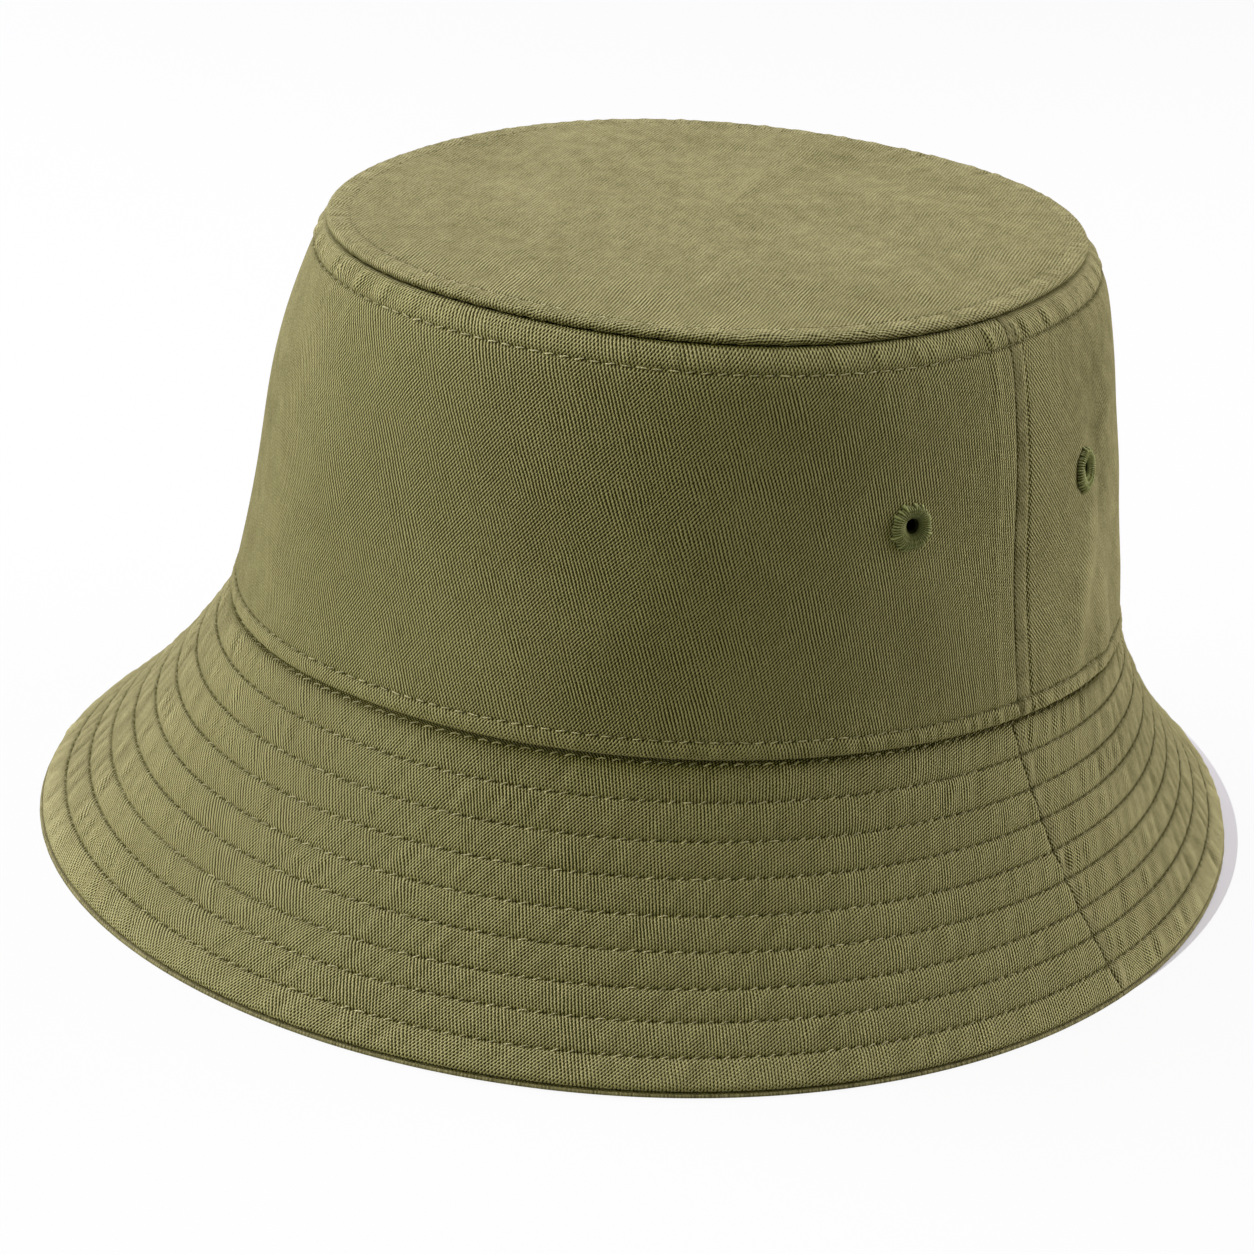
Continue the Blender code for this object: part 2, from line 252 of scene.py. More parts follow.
def tip(turn, inset, lift):
    """Round tip: rings parallel to its seam near the rim, then rings that shrink to its middle."""
    near = np.minimum(inset, TIP_PARALLEL)
    rim = ring(turn, TIP) - near[..., None] * level_normal(lambda angle: ring(angle, TIP), turn)
    middle = np.array([TIP.x, TIP.y, TIP.height])
    shrink = 1 - (inset - near) / (TIP.half_width - TIP_PARALLEL)
    points = middle + (rim - middle) * shrink[..., None]
    points[..., 2] = TIP.height + TIP.tilt * (points[..., 0] - TIP.x) + lift
    return points


brim_width = brim_lay(np.linspace(-math.pi, math.pi, 73)).width
print("brim width:", brim_width.min().round(4), "to", brim_width.max().round(4))

# %% [markdown]
# ## Puckers and slack
# Sewn cloth is never smooth: it puckers between rows of stitches and sags softly over wide areas.
# Both are sums of cosines with whole counts round the hat, so they close on themselves, and with
# phases from a fixed seed, so the hat is the same each time. A lane gives each stitched channel
# phases of its own.

# %% Puckers and slack
WAVE_LAYERS = 7
PUCKER_COUNTS = (0.5, 1.7)
PUCKER_HEIGHTS = (0.5, 1.0)
SLACK_ROUND = (2, 9)
SLACK_RISE = (0.5, 3.5)


def puckers(turn, lane, waves, seed, lanes=1):
    """Random ripple along a seam, mostly -1 to 1: cosines whose counts lie near a number of waves."""
    chance = np.random.default_rng(seed)
    counts = np.round(waves * chance.uniform(*PUCKER_COUNTS, WAVE_LAYERS))
    heights = chance.uniform(*PUCKER_HEIGHTS, WAVE_LAYERS)
    phases = chance.uniform(0, 2 * np.pi, (lanes, WAVE_LAYERS))
    field = np.cos(np.asarray(turn)[..., None] * counts + phases[lane])
    return field @ heights / math.sqrt(float((heights**2).sum()))


def slack(turn, share, seed):
    """Wide soft sag, mostly -1 to 1: cosines of a few waves round the hat and up its height."""
    chance = np.random.default_rng(seed)
    round_counts = chance.integers(*SLACK_ROUND, WAVE_LAYERS)
    rise_counts = chance.uniform(*SLACK_RISE, WAVE_LAYERS)
    phases = chance.uniform(0, 2 * np.pi, WAVE_LAYERS)
    field = np.cos(turn[..., None] * round_counts + np.pi * share[..., None] * rise_counts + phases)
    return field.sum(axis=-1) / math.sqrt(WAVE_LAYERS)


sample = puckers(np.linspace(0, 2 * np.pi, 999), 0, 90, 3)
print("pucker range:", sample.min().round(2), sample.max().round(2))

# %% [markdown]
# ## From grid to cloth
# A piece of cloth is a grid of points. Faces join each point to its neighbours, a UV map in metres
# keeps where the point lay in the flat cut, and float attributes carry what the finish needs: how
# worn the spot is, how much it is faded with painted shade and painted light mixed in, how far the
# nearest stitch row is and which stitch it is beside. Solidify gives the sheet its thickness and
# closes its edges.

# %% From grid to cloth
def closed(grid):
    """Grid whose first column comes again after its last, so that the faces go all the way round."""
    return np.concatenate([grid, grid[:, :1]], axis=1)


def grid_quads(index, flip=False):
    """Quads between neighbours in a grid of point numbers; flip turns their faces over."""
    sides = [index[:-1, :-1], index[:-1, 1:], index[1:, 1:], index[1:, :-1]]
    quads = np.stack(sides, axis=-1).reshape(-1, 4)
    return quads[:, [0, 3, 2, 1]] if flip else quads


def make_mesh(name, points, quads, uv, marks):
    """Mesh of quads. uv holds one pair for each corner of each quad, marks one number a point."""
    mesh = bpy.data.meshes.new(name)
    mesh.vertices.add(len(points))
    mesh.vertices.foreach_set("co", np.asarray(points, dtype=np.float32).ravel())
    mesh.loops.add(quads.size)
    mesh.loops.foreach_set("vertex_index", quads.astype(np.int32).ravel())
    mesh.polygons.add(len(quads))
    mesh.polygons.foreach_set("loop_start", np.arange(0, quads.size, 4, dtype=np.int32))
    mesh.update(calc_edges=True)
    layer = mesh.uv_layers.new(name="cut")
    layer.uv.foreach_set("vector", np.asarray(uv, dtype=np.float32).ravel())
    for mark, values in marks.items():
        attribute = mesh.attributes.new(mark, "FLOAT", "POINT")
        attribute.data.foreach_set("value", np.asarray(values, dtype=np.float32).ravel())
    mesh.shade_smooth()
    piece = bpy.data.objects.new(name, mesh)
    bpy.context.scene.collection.objects.link(piece)
    return piece


def lay_cloth(name, points, cut, thickness, around=False, keep=None, **marks):
    """Sheet over a grid of points (rows, columns, 3); around joins its last column to its first."""
    rows, columns = points.shape[:2]
    index = np.arange(rows * columns).reshape(rows, columns)
    if around:
        index = closed(index)
    corners = np.arange(index.size).reshape(index.shape)
    faces = [grid_quads(grid) for grid in (index, corners)]
    if keep is not None:
        kept = keep(points.reshape(-1, 3)[faces[0]].mean(axis=1))
        faces = [face[kept] for face in faces]
    used, quads = np.unique(faces[0], return_inverse=True)
    quads = quads.reshape(-1, 4)
    uv = cut.reshape(-1, 2)[faces[1]]
    marks = {mark: np.broadcast_to(values, (rows, columns)).ravel()[used] for mark, values in marks.items()}
    piece = make_mesh(name, points.reshape(-1, 3)[used], quads, uv, marks)
    shell = piece.modifiers.new("cloth", "SOLIDIFY")
    shell.thickness = thickness
    shell.offset = -1
    return piece


print("a grid of 3 by 4 points has", len(grid_quads(np.arange(12).reshape(3, 4))), "faces")

# %% [markdown]
# A finished piece rides on the hat's body, gets its material and stands for the solids that it covers.
# The flat cuts are turned so that one coordinate runs across the ribs of the weave.

# %% Placing and cutting cloth
CROWDING = 0.7


def place(piece, finish, slot, *nodes):
    """Give a piece its finish, let it ride on the hat and stand for its CAD nodes; the slot is not used."""
    piece.data.materials.append(finish)
    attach(piece, "root")
    if nodes:
        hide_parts(*nodes)
    print(piece.name, "faces:", len(piece.data.polygons))
    return piece


def turned(x, y, angle):
    """Flat coordinates turned so that the first runs across the ribs and the second along them."""
    grain = math.radians(angle)
    across_ribs = x * math.cos(grain) + y * math.sin(grain)
    along_ribs = y * math.cos(grain) - x * math.sin(grain)
    return np.stack([across_ribs, along_ribs], axis=-1)


def widened(turn, *rows):
    """Values of each row, repeated over all columns of a grid of angles."""
    return [np.broadcast_to(values[:, None], turn.shape) for values in rows]


def half_circle(radius, steps):
    """Way round a folded hem: how far across it and how far short of its fold line."""
    angle = np.linspace(0, np.pi, steps)
    return radius - radius * np.cos(angle), radius - radius * np.sin(angle)


def crowded(start, stop, count):
    """Values from start to stop that stand closer together near both ends."""
    even = np.linspace(-1, 1, count)
    drawn = (1 - CROWDING) * even + CROWDING * (1.5 * even - 0.5 * even**3)
    return start + (stop - start) * (drawn + 1) / 2


print("a folded hem is", round(HEM_DEPTH, 5), "m deep")

# %% [markdown]
# ## Writing shaders as sums
# A finish is easier to read as an expression than as a list of links. Wire wraps one socket and
# overloads the arithmetic operators, so a product of two wires adds a Math node. Any other node
# comes from Finish.node, which takes its type, its settings and its sockets.

# %% Writing shaders as sums
class Wire:
    """One output socket of a finish, which can be added, scaled and passed on."""

    def __init__(self, finish, socket):
        self.finish = finish
        self.socket = socket

    def math(self, operation, other=0.0, swap=False):
        """Math node with this wire first, or second if the two are swapped."""
        pair = (other, self) if swap else (self, other)
        return self.finish.node("ShaderNodeMath", {"operation": operation}, {0: pair[0], 1: pair[1]})

    def held(self, low=0.0, high=1.0):
        """This wire, kept between two values."""
        return self.math("MAXIMUM", low).math("MINIMUM", high)

    def __add__(self, other):
        return self.math("ADD", other)

    def __mul__(self, other):
        return self.math("MULTIPLY", other)

    def __sub__(self, other):
        return self.math("SUBTRACT", other)

    def __rsub__(self, other):
        return self.math("SUBTRACT", other, swap=True)

    __radd__ = __add__
    __rmul__ = __mul__


print("wire methods:", [name for name in vars(Wire) if not name.startswith("__")])

# %% [markdown]
# A cloth finish is a rough Principled shader with little gloss and a faint sheen from loose fibres. Its
# patterns read the flat cut in the UV map and the marks on the points, so they follow the cloth.

# %% A finish and its nodes
CLOTH_GLOSS = 0.06
SHEEN_ROUGHNESS = 0.6
SHEEN_TINT = (0.85, 0.79, 0.22, 1.0)


class Finish:
    """A material with a Principled shader, and one method that adds any node."""

    def __init__(self, name, roughness, sheen=0.0):
        self.material = bpy.data.materials.new(name)
        self.material.use_nodes = True
        self.nodes = self.material.node_tree.nodes
        self.links = self.material.node_tree.links
        self.shader = self.nodes["Principled BSDF"]
        self.shader.inputs["Roughness"].default_value = roughness
        self.shader.inputs["Specular IOR Level"].default_value = CLOTH_GLOSS
        self.shader.inputs["Sheen Weight"].default_value = sheen
        self.shader.inputs["Sheen Roughness"].default_value = SHEEN_ROUGHNESS
        self.shader.inputs["Sheen Tint"].default_value = SHEEN_TINT

    def node(self, kind, settings=None, sockets=None, output=0):
        """Add a node, set it up, fill its sockets with values or wires and return one output."""
        made = self.nodes.new(kind)
        for key, value in (settings or {}).items():
            setattr(made, key, value)
        for key, value in (sockets or {}).items():
            self.fill(made.inputs[key], value)
        return Wire(self, made.outputs[output])

    def fill(self, socket, value):
        """Link a wire to a socket, or store a value in it."""
        if isinstance(value, Wire):
            self.links.new(value.socket, socket)
        else:
            socket.default_value = value

    def attribute(self, name):
        """A mark of the points, by its name."""
        return self.node("ShaderNodeAttribute", {"attribute_name": name}, output="Fac")

    def cut(self):
        """Place in the flat cut, as one vector and as its parts across and along the ribs."""
        place_in_cut = self.node("ShaderNodeUVMap", {"uv_map": "cut"})
        parts = self.node("ShaderNodeSeparateXYZ", {}, {0: place_in_cut}).socket.node.outputs
        return place_in_cut, Wire(self, parts["X"]), Wire(self, parts["Y"])

    def scaled(self, vector, scale):
        """Vector times a scale for each of its parts."""
        return self.node("ShaderNodeVectorMath", {"operation": "MULTIPLY"}, {0: vector, 1: scale})

    def noise(self, vector, across, along, detail=2.0):
        """Noise about 0, between -0.5 and 0.5, with a number of waves a metre each way."""
        sockets = {"Vector": self.scaled(vector, (across, along, 0.0)), "Scale": 1.0, "Detail": detail}
        return self.node("ShaderNodeTexNoise", {"noise_dimensions": "2D"}, sockets) - 0.5

    def blend(self, factor, first, second):
        """Colour that goes from the first to the second as the factor goes from 0 to 1."""
        return self.node("ShaderNodeMix", {"data_type": "RGBA"}, {0: factor, 6: first, 7: second}, output=2)

    def bump(self, height, distance):
        """Bend the shading by a height, where 1 stands for a distance in metres."""
        sockets = {"Height": height, "Distance": distance, "Strength": 1.0}
        self.fill(self.shader.inputs["Normal"], self.node("ShaderNodeBump", {}, sockets))

    def colour(self, value):
        """Give the shader its colour."""
        self.fill(self.shader.inputs["Base Color"], value)


print("sheen tint of the cloth:", SHEEN_TINT[:3])

# %% [markdown]
# ## Washed twill
# Twill shows slanted ribs about two thirds of a millimetre apart, each a string of small beads of
# yarn. Washing fades the crests, the folds and the edges, and the near black of the grooves is partly
# painted shade. The ribs follow the flat cut in the UV map, bent a little by noise. Colour and bump are
# two weighted sums of the same forms, so light and paint agree. Attributes say where a row of stitches
# lies, where cloth is creased, faded or worn smooth, and where shade and light are painted on.

# %% What washed twill is made of
TURN = 2 * math.pi
RIB = 0.00067
BEAD = 0.00068
BEAD_STAGGER = 0.6
WIDE_BEND = 0.0008
FINE_BEND = 0.00016
BEADED_SPAN = 1.8
BEADED_LEAST = 0.6
BEADED_MOST = 1.2
BEAD_PART = 0.5
RIBS_LOST = 0.8
TWILL_LIGHT = (0.552, 0.508, 0.268, 1.0)
TWILL_FRESH = (0.552, 0.520, 0.252, 1.0)
# dark end of the twill: the grooves between ribs, near black partly as painted shade
TWILL_DARK = (0.022, 0.020, 0.0010, 1.0)
TWILL_ROUGHNESS = 0.95
TWILL_SHEEN = 0.15
TWILL_TONE = -0.57
TWILL_BUMP = 0.00030
# noise: waves a metre across the ribs and along them, and detail
TWILL_NOISE = {
    "wide_bend": (110.0, 60.0, 2.0),
    "fine_bend": (900.0, 500.0, 2.0),
    "beading": (120.0, 90.0, 2.0),
    "slub": (1500.0, 420.0, 3.0),
    "cloud": (300.0, 170.0, 4.0),
    "fuzz": (2600.0, 2200.0, 2.0),
    "wide_fade": (34.0, 26.0, 4.0),
    "fine_fade": (170.0, 120.0, 3.0),
}
# form: weight in the height and weight in the tone
TWILL_MIX = {
    "yarn": (1.0, 2.1),
    "slub": (0.3, 0.26),
    "fuzz": (0.4, 0.70),
    "wide_fade": (0.0, 0.24),
    "fine_fade": (0.0, 0.14),
    "cloud": (0.4, 0.35),
    # fading from washing, with painted shade and painted light mixed in
    "wear_and_shading": (0.0, 0.20),
    # the line, crease, pinhole and soft band beside worn rows darken as painted shade
    "line": (-0.8, -0.45),
    "crease": (-0.4, -0.10),
    "pinhole": (-1.0, -0.36),
    "row_shade": (0.0, -0.20),
    "worn": (0.0, -0.05),
}


def weigh(forms, mix):
    """Two weighted sums of the same forms, which may be arrays or wires: a height and a tone."""
    return [sum(forms[name] * mix[name][column] for name in mix if mix[name][column]) for column in (0, 1)]


print("forms of the twill:", len(TWILL_MIX), "noises:", len(TWILL_NOISE))

# %% [markdown]
# A row of stitches marks the cloth in four ways, and the dark of each is painted shade. Its thread
# sinks into a line that darkens in the second half of each stitch, the needle leaves pinholes
# between stitches, worn cloth gets a soft shaded band beside the row, and gathered cloth creases.
# The creases are the ridges of a noise stretched along the folds.

# %% Marks of a row of stitches
ROW_LINE = 0.00042
LINE_SINKS = 0.45
LINE_SLOPE = 3.0
LINE_LEAST = 0.3
LINE_LOST = 0.7
PINHOLE = 0.0004
PINHOLE_HALF = 0.19
PINHOLE_LOST = 0.9
ROW_SHADE_REACH = 0.0010
FOLD_WAVES = 1.5
FOLD_SKEW = 120.0
FOLD_LENGTH = 70.0
FOLD_SHARP = 9.0


def row_marks(finish, worn):
    """Painted shade of the nearest row: its line, its pinholes and a soft band beside it on worn cloth, and
    the shaded creases of gathered cloth.
    """
    gap = finish.attribute("row_gap")
    stitch = finish.attribute("run").math("FRACT")
    sunk = ((stitch - LINE_SINKS) * LINE_SLOPE).held() * (1 - LINE_LEAST) + LINE_LEAST
    line = (1.0 - gap * (1 / ROW_LINE)).held() * sunk * (1.0 - worn * LINE_LOST)
    row_shade = (1.0 - gap * (1 / ROW_SHADE_REACH)).held() * worn
    between = 0.5 - (stitch - 0.5).math("ABSOLUTE")
    pricked = (1.0 - between * (1 / PINHOLE_HALF)).held() * (1.0 - worn * PINHOLE_LOST)
    pinhole = (1.0 - gap * (1 / PINHOLE)).held() * pricked
    skewed = finish.attribute("fold") * FOLD_WAVES + gap * FOLD_SKEW
    folds = finish.node("ShaderNodeCombineXYZ", {}, {0: skewed, 1: gap * FOLD_LENGTH})
    ridge = (1.0 - finish.noise(folds, 1.0, 1.0, 1.0).math("ABSOLUTE") * FOLD_SHARP).held()
    crease = ridge * finish.attribute("tight")
    return {"line": line, "row_shade": row_shade, "pinhole": pinhole, "crease": crease}


print("a row's line is", ROW_LINE, "m wide to each side, its pinholes", PINHOLE)

# %% [markdown]
# The twill puts these together. Its colour goes from the dark of the grooves to the crests, whose olive
# is a little greener where the cloth is fresh.

# %% Washed twill
def washed_twill():
    """Ribs and beads are sines across and along the flat cut; worn cloth loses them to a soft cloud."""
    finish = Finish("washed_twill", TWILL_ROUGHNESS, TWILL_SHEEN)
    cut, across, along = finish.cut()
    forms = {name: finish.noise(cut, *values) for name, values in TWILL_NOISE.items()}
    bend = forms["wide_bend"] * WIDE_BEND + forms["fine_bend"] * FINE_BEND
    phase = (across + bend) * (TURN / RIB)
    rib = phase.math("SINE") * 0.5 + 0.5
    bead = (along * (TURN / BEAD) - phase * BEAD_STAGGER).math("SINE") * 0.5 + 0.5
    beaded = (forms["beading"] * BEADED_SPAN + 1.0).held(BEADED_LEAST, BEADED_MOST)
    yarn = rib + (bead - rib) * beaded * BEAD_PART
    worn = finish.attribute("worn")
    forms["yarn"] = 0.5 + (yarn - 0.5) * (1.0 - worn * RIBS_LOST)
    worn = worn.held()
    forms["cloud"] = forms["cloud"] * worn
    forms |= row_marks(finish, worn) | {"worn": worn, "wear_and_shading": finish.attribute("wear_and_shading")}
    height, tone = weigh(forms, TWILL_MIX)
    crest = finish.blend(worn, TWILL_FRESH, TWILL_LIGHT)
    finish.colour(finish.blend((tone + TWILL_TONE).held(), TWILL_DARK, crest))
    finish.bump(height, TWILL_BUMP)
    return finish.material


TWILL = washed_twill()
print("finish:", TWILL.name, "nodes:", len(TWILL.node_tree.nodes))

# %% [markdown]
# ## Lining, tape, stiffener and thread
# The sweatband and the tapes are plain weave: over and under in both directions, which a product of
# two sines shows well. The stiffener between the brim layers is the same weave undyed. Thread is
# two plies twisted together, so its finish has slanted stripes.

# %% Lining, tape, stiffener and thread
WEAVE_ROUGHNESS = 0.9
WEAVE_SHEEN = 0.10
WEAVE_BEND = 0.0006
BEND_WAVES = 200.0
FUZZ_WAVES = 2600.0
FADE_WAVES = 45.0
FADE_DETAIL = 3.0
WEAVE_DEPTH = 0.4
WEAVE_FUZZ = 0.3
WEAVE_FADE = 0.35
WEAVE_CONTRAST = 0.6
WEAVE_TONE = 0.2
WEAVE_BUMP = 0.00015
THREAD_ROUGHNESS = 0.75
THREAD_SHEEN = 0.10
PLY_ALONG = 4.0
PLY_AROUND = 2.0
PLY_DEPTH = 0.2
PLY_BUMP = 0.00005


def plain_weave(name, yarn, light, dark):
    """Weft and warp are sines a yarn wide, and their product is high where one crosses the other."""
    finish = Finish(name, WEAVE_ROUGHNESS, WEAVE_SHEEN)
    cut, across, along = finish.cut()
    bend = finish.noise(cut, BEND_WAVES, BEND_WAVES) * WEAVE_BEND
    weft = ((across + bend) * (math.pi / yarn)).math("SINE")
    warp = ((along + bend) * (math.pi / yarn)).math("SINE")
    fuzz = finish.noise(cut, FUZZ_WAVES, FUZZ_WAVES) * WEAVE_FUZZ
    fade = finish.noise(cut, FADE_WAVES, FADE_WAVES, FADE_DETAIL) * WEAVE_FADE
    height = 0.5 + weft * warp * WEAVE_DEPTH + fuzz
    tone = height * WEAVE_CONTRAST + WEAVE_TONE + fade
    finish.colour(finish.blend(tone.held(), dark, light))
    finish.bump(height, WEAVE_BUMP)
    return finish.material


def twisted_thread(name, light, dark, spread=0.5):
    """Plies are a sine that runs along the thread and round it at once."""
    finish = Finish(name, THREAD_ROUGHNESS, THREAD_SHEEN)
    _, along, around = finish.cut()
    ply = ((along * PLY_ALONG + around * PLY_AROUND) * TURN).math("SINE")
    tone = 0.5 + ply * PLY_DEPTH + finish.attribute("wear_and_shading") * spread
    finish.colour(finish.blend(tone.held(), dark, light))
    finish.bump(ply, PLY_BUMP)
    return finish.material


LINING = plain_weave("sweatband_cotton", 0.0004, (0.30, 0.285, 0.15, 1.0), (0.10, 0.095, 0.04, 1.0))
TAPE_FINISH = plain_weave("seam_tape", 0.0005, (0.29, 0.275, 0.14, 1.0), (0.095, 0.09, 0.036, 1.0))
STIFFENER_FINISH = plain_weave("interlining", 0.0006, (0.80, 0.78, 0.72, 1.0), (0.58, 0.56, 0.50, 1.0))
SEAM_THREAD = twisted_thread("seam_thread", (0.82, 0.77, 0.46, 1.0), (0.21, 0.195, 0.09, 1.0))
EYELET_THREAD = twisted_thread("eyelet_thread", (0.52, 0.56, 0.25, 1.0), (0.026, 0.032, 0.007, 1.0), 1.0)
print("finishes:", [m.name for m in (LINING, TAPE_FINISH, STIFFENER_FINISH, SEAM_THREAD, EYELET_THREAD)])

# %% [markdown]
# ## Side seams
# The front halves lap over the rear ones at both sides. What the cloth does near a seam depends on
# one number: how far behind the nearer seam a point lies, with a minus sign in front of it. The seam
# leans forward up the wall and back down the brim, where it also bows a little between stitch rows.

# %% Side seams
ROW_COUNT = 9
ROW_SHARES = np.array([0.06, 1.07, 2.13, 3.13, 4.14, 5.11, 6.11, 6.99, 7.94, ROW_COUNT]) / ROW_COUNT
WALL_SEAM = -0.010
WALL_LEAN = -0.022
BRIM_SEAM = -0.021
BRIM_LEAN = 0.036
SEAM_CURVE = 0.008
SEAM_BOW = 0.0004
HALF_SEAM = 0.0004
SEAM_SHIFT = 0.004
STIFFENER_CLEAR = 0.03


def channel(share):
    """Which channel a place on the brim lies in, and how far across that channel, from 0 to 1."""
    lane = np.clip(np.searchsorted(ROW_SHARES, share, side="right") - 1, 0, ROW_COUNT - 1)
    width = ROW_SHARES[lane + 1] - ROW_SHARES[lane]
    return lane, np.clip((share - ROW_SHARES[lane]) / width, 0, 1)


def wall_seam(rise):
    """Angle of the wall's left seam, which leans forward as it rises."""
    return WALL_SEAM + WALL_LEAN * rise / CROWN


def brim_seam(share):
    """Angle of the brim's left seam: it leans back with the share, in a curve, and bows between rows."""
    _, part = channel(share)
    bow = SEAM_CURVE * np.sin(np.pi * share) + SEAM_BOW * np.sin(np.pi * part)
    return BRIM_SEAM + BRIM_LEAN * share + bow


def behind_seam(turn, seam, radius):
    """Distance behind the nearer side seam; the right seam is the left one mirrored."""
    left = wrap(turn - seam)
    right = wrap(np.pi - seam - turn)
    return np.where(np.abs(left) < np.abs(right), left, right) * radius


def half_turns(seam, half, count, clear=HALF_SEAM):
    """Columns of a front or rear half for each row of its grid, from seam to seam."""
    seam = seam[:, None]
    if half == "front":
        start, stop = -np.pi - seam + clear, seam - clear
    else:
        start, stop = seam + clear, np.pi - seam - clear
    return start + (stop - start) * crowded(0.0, 1.0, count)


print("stitch rows at", ROW_SHARES.round(3))

# %% [markdown]
# ## Height of the crown's cloth
# The two side panels make the crown wall. Each is hemmed at the top and the base, has a stitch row
# near both hems and puckers between row and hem. The front panel's edge lies over the rear one, and
# the seam allowance behind it shows as a faint ridge. The height of all this is one function of the
# angle and the rise, so the thread can be laid on it later.

# %% Hems, wear and drags
TOP_ROW = 0.0047
BASE_ROW = 0.0038
PULL_REACH = 0.003
PULL_PAST = 0.22
FRONT = -math.pi / 2
FRONT_HALF = 1.25
FRONT_CALM = 0.7
SIDE_HALF = 0.22
SIDE_GATHER = 0.8
FRESH_MIDDLE = -0.95
FRESH_HALF = 0.75
FRESH_FADE = 0.7
BACK_MIDDLE = 1.9
BACK_HALF = 0.95
BACK_WEAVE = 0.6
LIP_REACH = 0.0022
LAP_SHADE = 0.0005
DIP_HALF = 0.00035
GROOVE_HALF = 0.00045
DRAG_ENDS = 1.4
# soft drags in the wall: angle at the base and at the tip, middle share, half share, half width, height
DRAGS = np.array([
    (0.20, 0.56, 0.30, 0.32, 0.0042, 0.0013),
    (0.62, 0.68, 0.32, 0.34, 0.0050, 0.0011),
    (0.44, 0.40, 0.60, 0.30, 0.0060, -0.0010),
    (0.40, 0.46, 0.16, 0.20, 0.0040, 0.0011),
    (-0.62, -0.95, 0.30, 0.25, 0.0100, 0.0005),
    (-1.10, -0.70, 0.40, 0.30, 0.0120, 0.0005),
    (-0.30, -0.52, 0.25, 0.22, 0.0070, -0.0004),
    (2.60, 2.40, 0.30, 0.30, 0.0060, 0.0007),
    (3.70, 3.95, 0.35, 0.30, 0.0080, 0.0006),
])


def band(gap, row):
    """Swell of the cloth between a hem and its row of stitches."""
    return np.sin(np.pi * np.clip(gap / row, 0, 1))


def pull(gap, row):
    """Where puckers stand: full between hem and row, none on the row, fading beyond it."""
    past = np.clip((gap - row) / PULL_REACH, 0, None)
    return np.where(gap < row, band(gap, row), PULL_PAST * past * np.exp(1 - past))


def calm(turn):
    """How strongly the hems gather: least at the front, most at the side seams."""
    front = FRONT_CALM * bell(wrap(turn - FRONT), FRONT_HALF)
    return 1 - front + SIDE_GATHER * bell(np.sin(turn), SIDE_HALF)


def worn_smooth(turn, middle=FRESH_MIDDLE, half=FRESH_HALF):
    """How far washing has rubbed the weave smooth: not at the front, most at the sides, less behind."""
    sides = ease((np.abs(wrap(turn - middle)) - half) / FRESH_FADE)
    return sides * (1 - BACK_WEAVE * bell(wrap(turn - BACK_MIDDLE), BACK_HALF))


def seam_forms(behind):
    """Forms at a side seam: the lip of the front half, the dip beside it, darkened with painted shade, and
    a painted shadow behind it.
    """
    lap = np.where(behind < 0, np.exp(np.minimum(behind, 0) / LIP_REACH), 0)
    shade = np.where(behind > 0, np.exp(-np.maximum(behind, 0) / LAP_SHADE), 0)
    return {"lap": lap, "dip": np.exp(-np.abs(behind) / DIP_HALF), "lap_shade": shade}


def drags(turn, share):
    """Soft pulls in the wall: each is a bell across a leaning line that fades at both of its ends."""
    foot, head, middle, half, width, height = DRAGS.T
    off = wrap(turn[..., None] - foot - (head - foot) * share[..., None]) * WALL_RADIUS / width
    fade = ease(DRAG_ENDS * (1 - np.abs(share[..., None] - middle) / half))
    return (height * fade * np.exp(-(off**2))).sum(axis=-1)


print("hem bands:", TOP_ROW, "m at the top,", BASE_ROW, "m at the base; drags:", len(DRAGS))

# %% [markdown]
# Each form on the wall, such as a hem band or the lip of a seam, is an array of plain numbers, apart from
# the drags, which are in metres already. A table gives each form a height and a tone: what is raised
# is mostly paler, as washing fades it, and what is sunk is darker as painted shade, as are the painted
# shadows under the tip and behind the seam lap. The tip and the brim have tables too.

# %% Height of the wall's cloth
BAND_PUFF = 0.00035
BAND_PUCKER = 0.00022
ROW_GROOVE = 0.0003
HEM_RIPPLE = 0.00014
LIP = 0.0005
SEAM_DIP = 0.0006
# form: height and tone, paler where washing fades the cloth, with painted shade in the grooves, dips,
# creases and under the laps and the tip
WALL_MIX = {
    "bands": (BAND_PUFF, 0.45),
    "ripple": (BAND_PUCKER, 0.5),
    "groove": (-ROW_GROOVE, -0.3),
    "lap": (LIP, 0.6),
    "dip": (-SEAM_DIP, -1.5),
    "lap_shade": (0.0, -2.2),
    "ridge": (0.00026, 0.35),
    "front_ridge": (0.00016, 0.3),
    "crease": (-0.0004, -1.6),
    "sag": (0.0005, 0.0),
    "drags": (1.0, 600.0),
    "hem": (HEM_RIPPLE, 0.0),
    "tip_shade": (0.0, -1.2),
    # painted light on the underside of the base fold
    "lit_fold_edge": (0.0, 1.0),
    # painted shade over the wall's middle, between the front and the left seam
    "deep": (0.0, -0.35),
}
RIDGE_PLACE = 0.0044
RIDGE_HALF = 0.0012
CREASE_HALF = 0.0005
FRONT_RIDGE_PLACE = -0.0052
HEM_REACH = 0.0016
SEAM_SHADE = 0.0004
PRESSED = 0.0015
PRESSED_HALF = 0.0030
TOP_GATHER = 1.0
TOP_GATHER_AT = -2.05
TOP_GATHER_HALF = 0.45
TIGHT = 0.55
TIGHT_SPREAD = 0.35
FOLD_LIGHT_REACH = 0.0008
WALL_SHADE_MIDDLE = -0.75
WALL_SHADE_HALF = 0.38
DEEPEST = -3.0
PALEST = 1.5


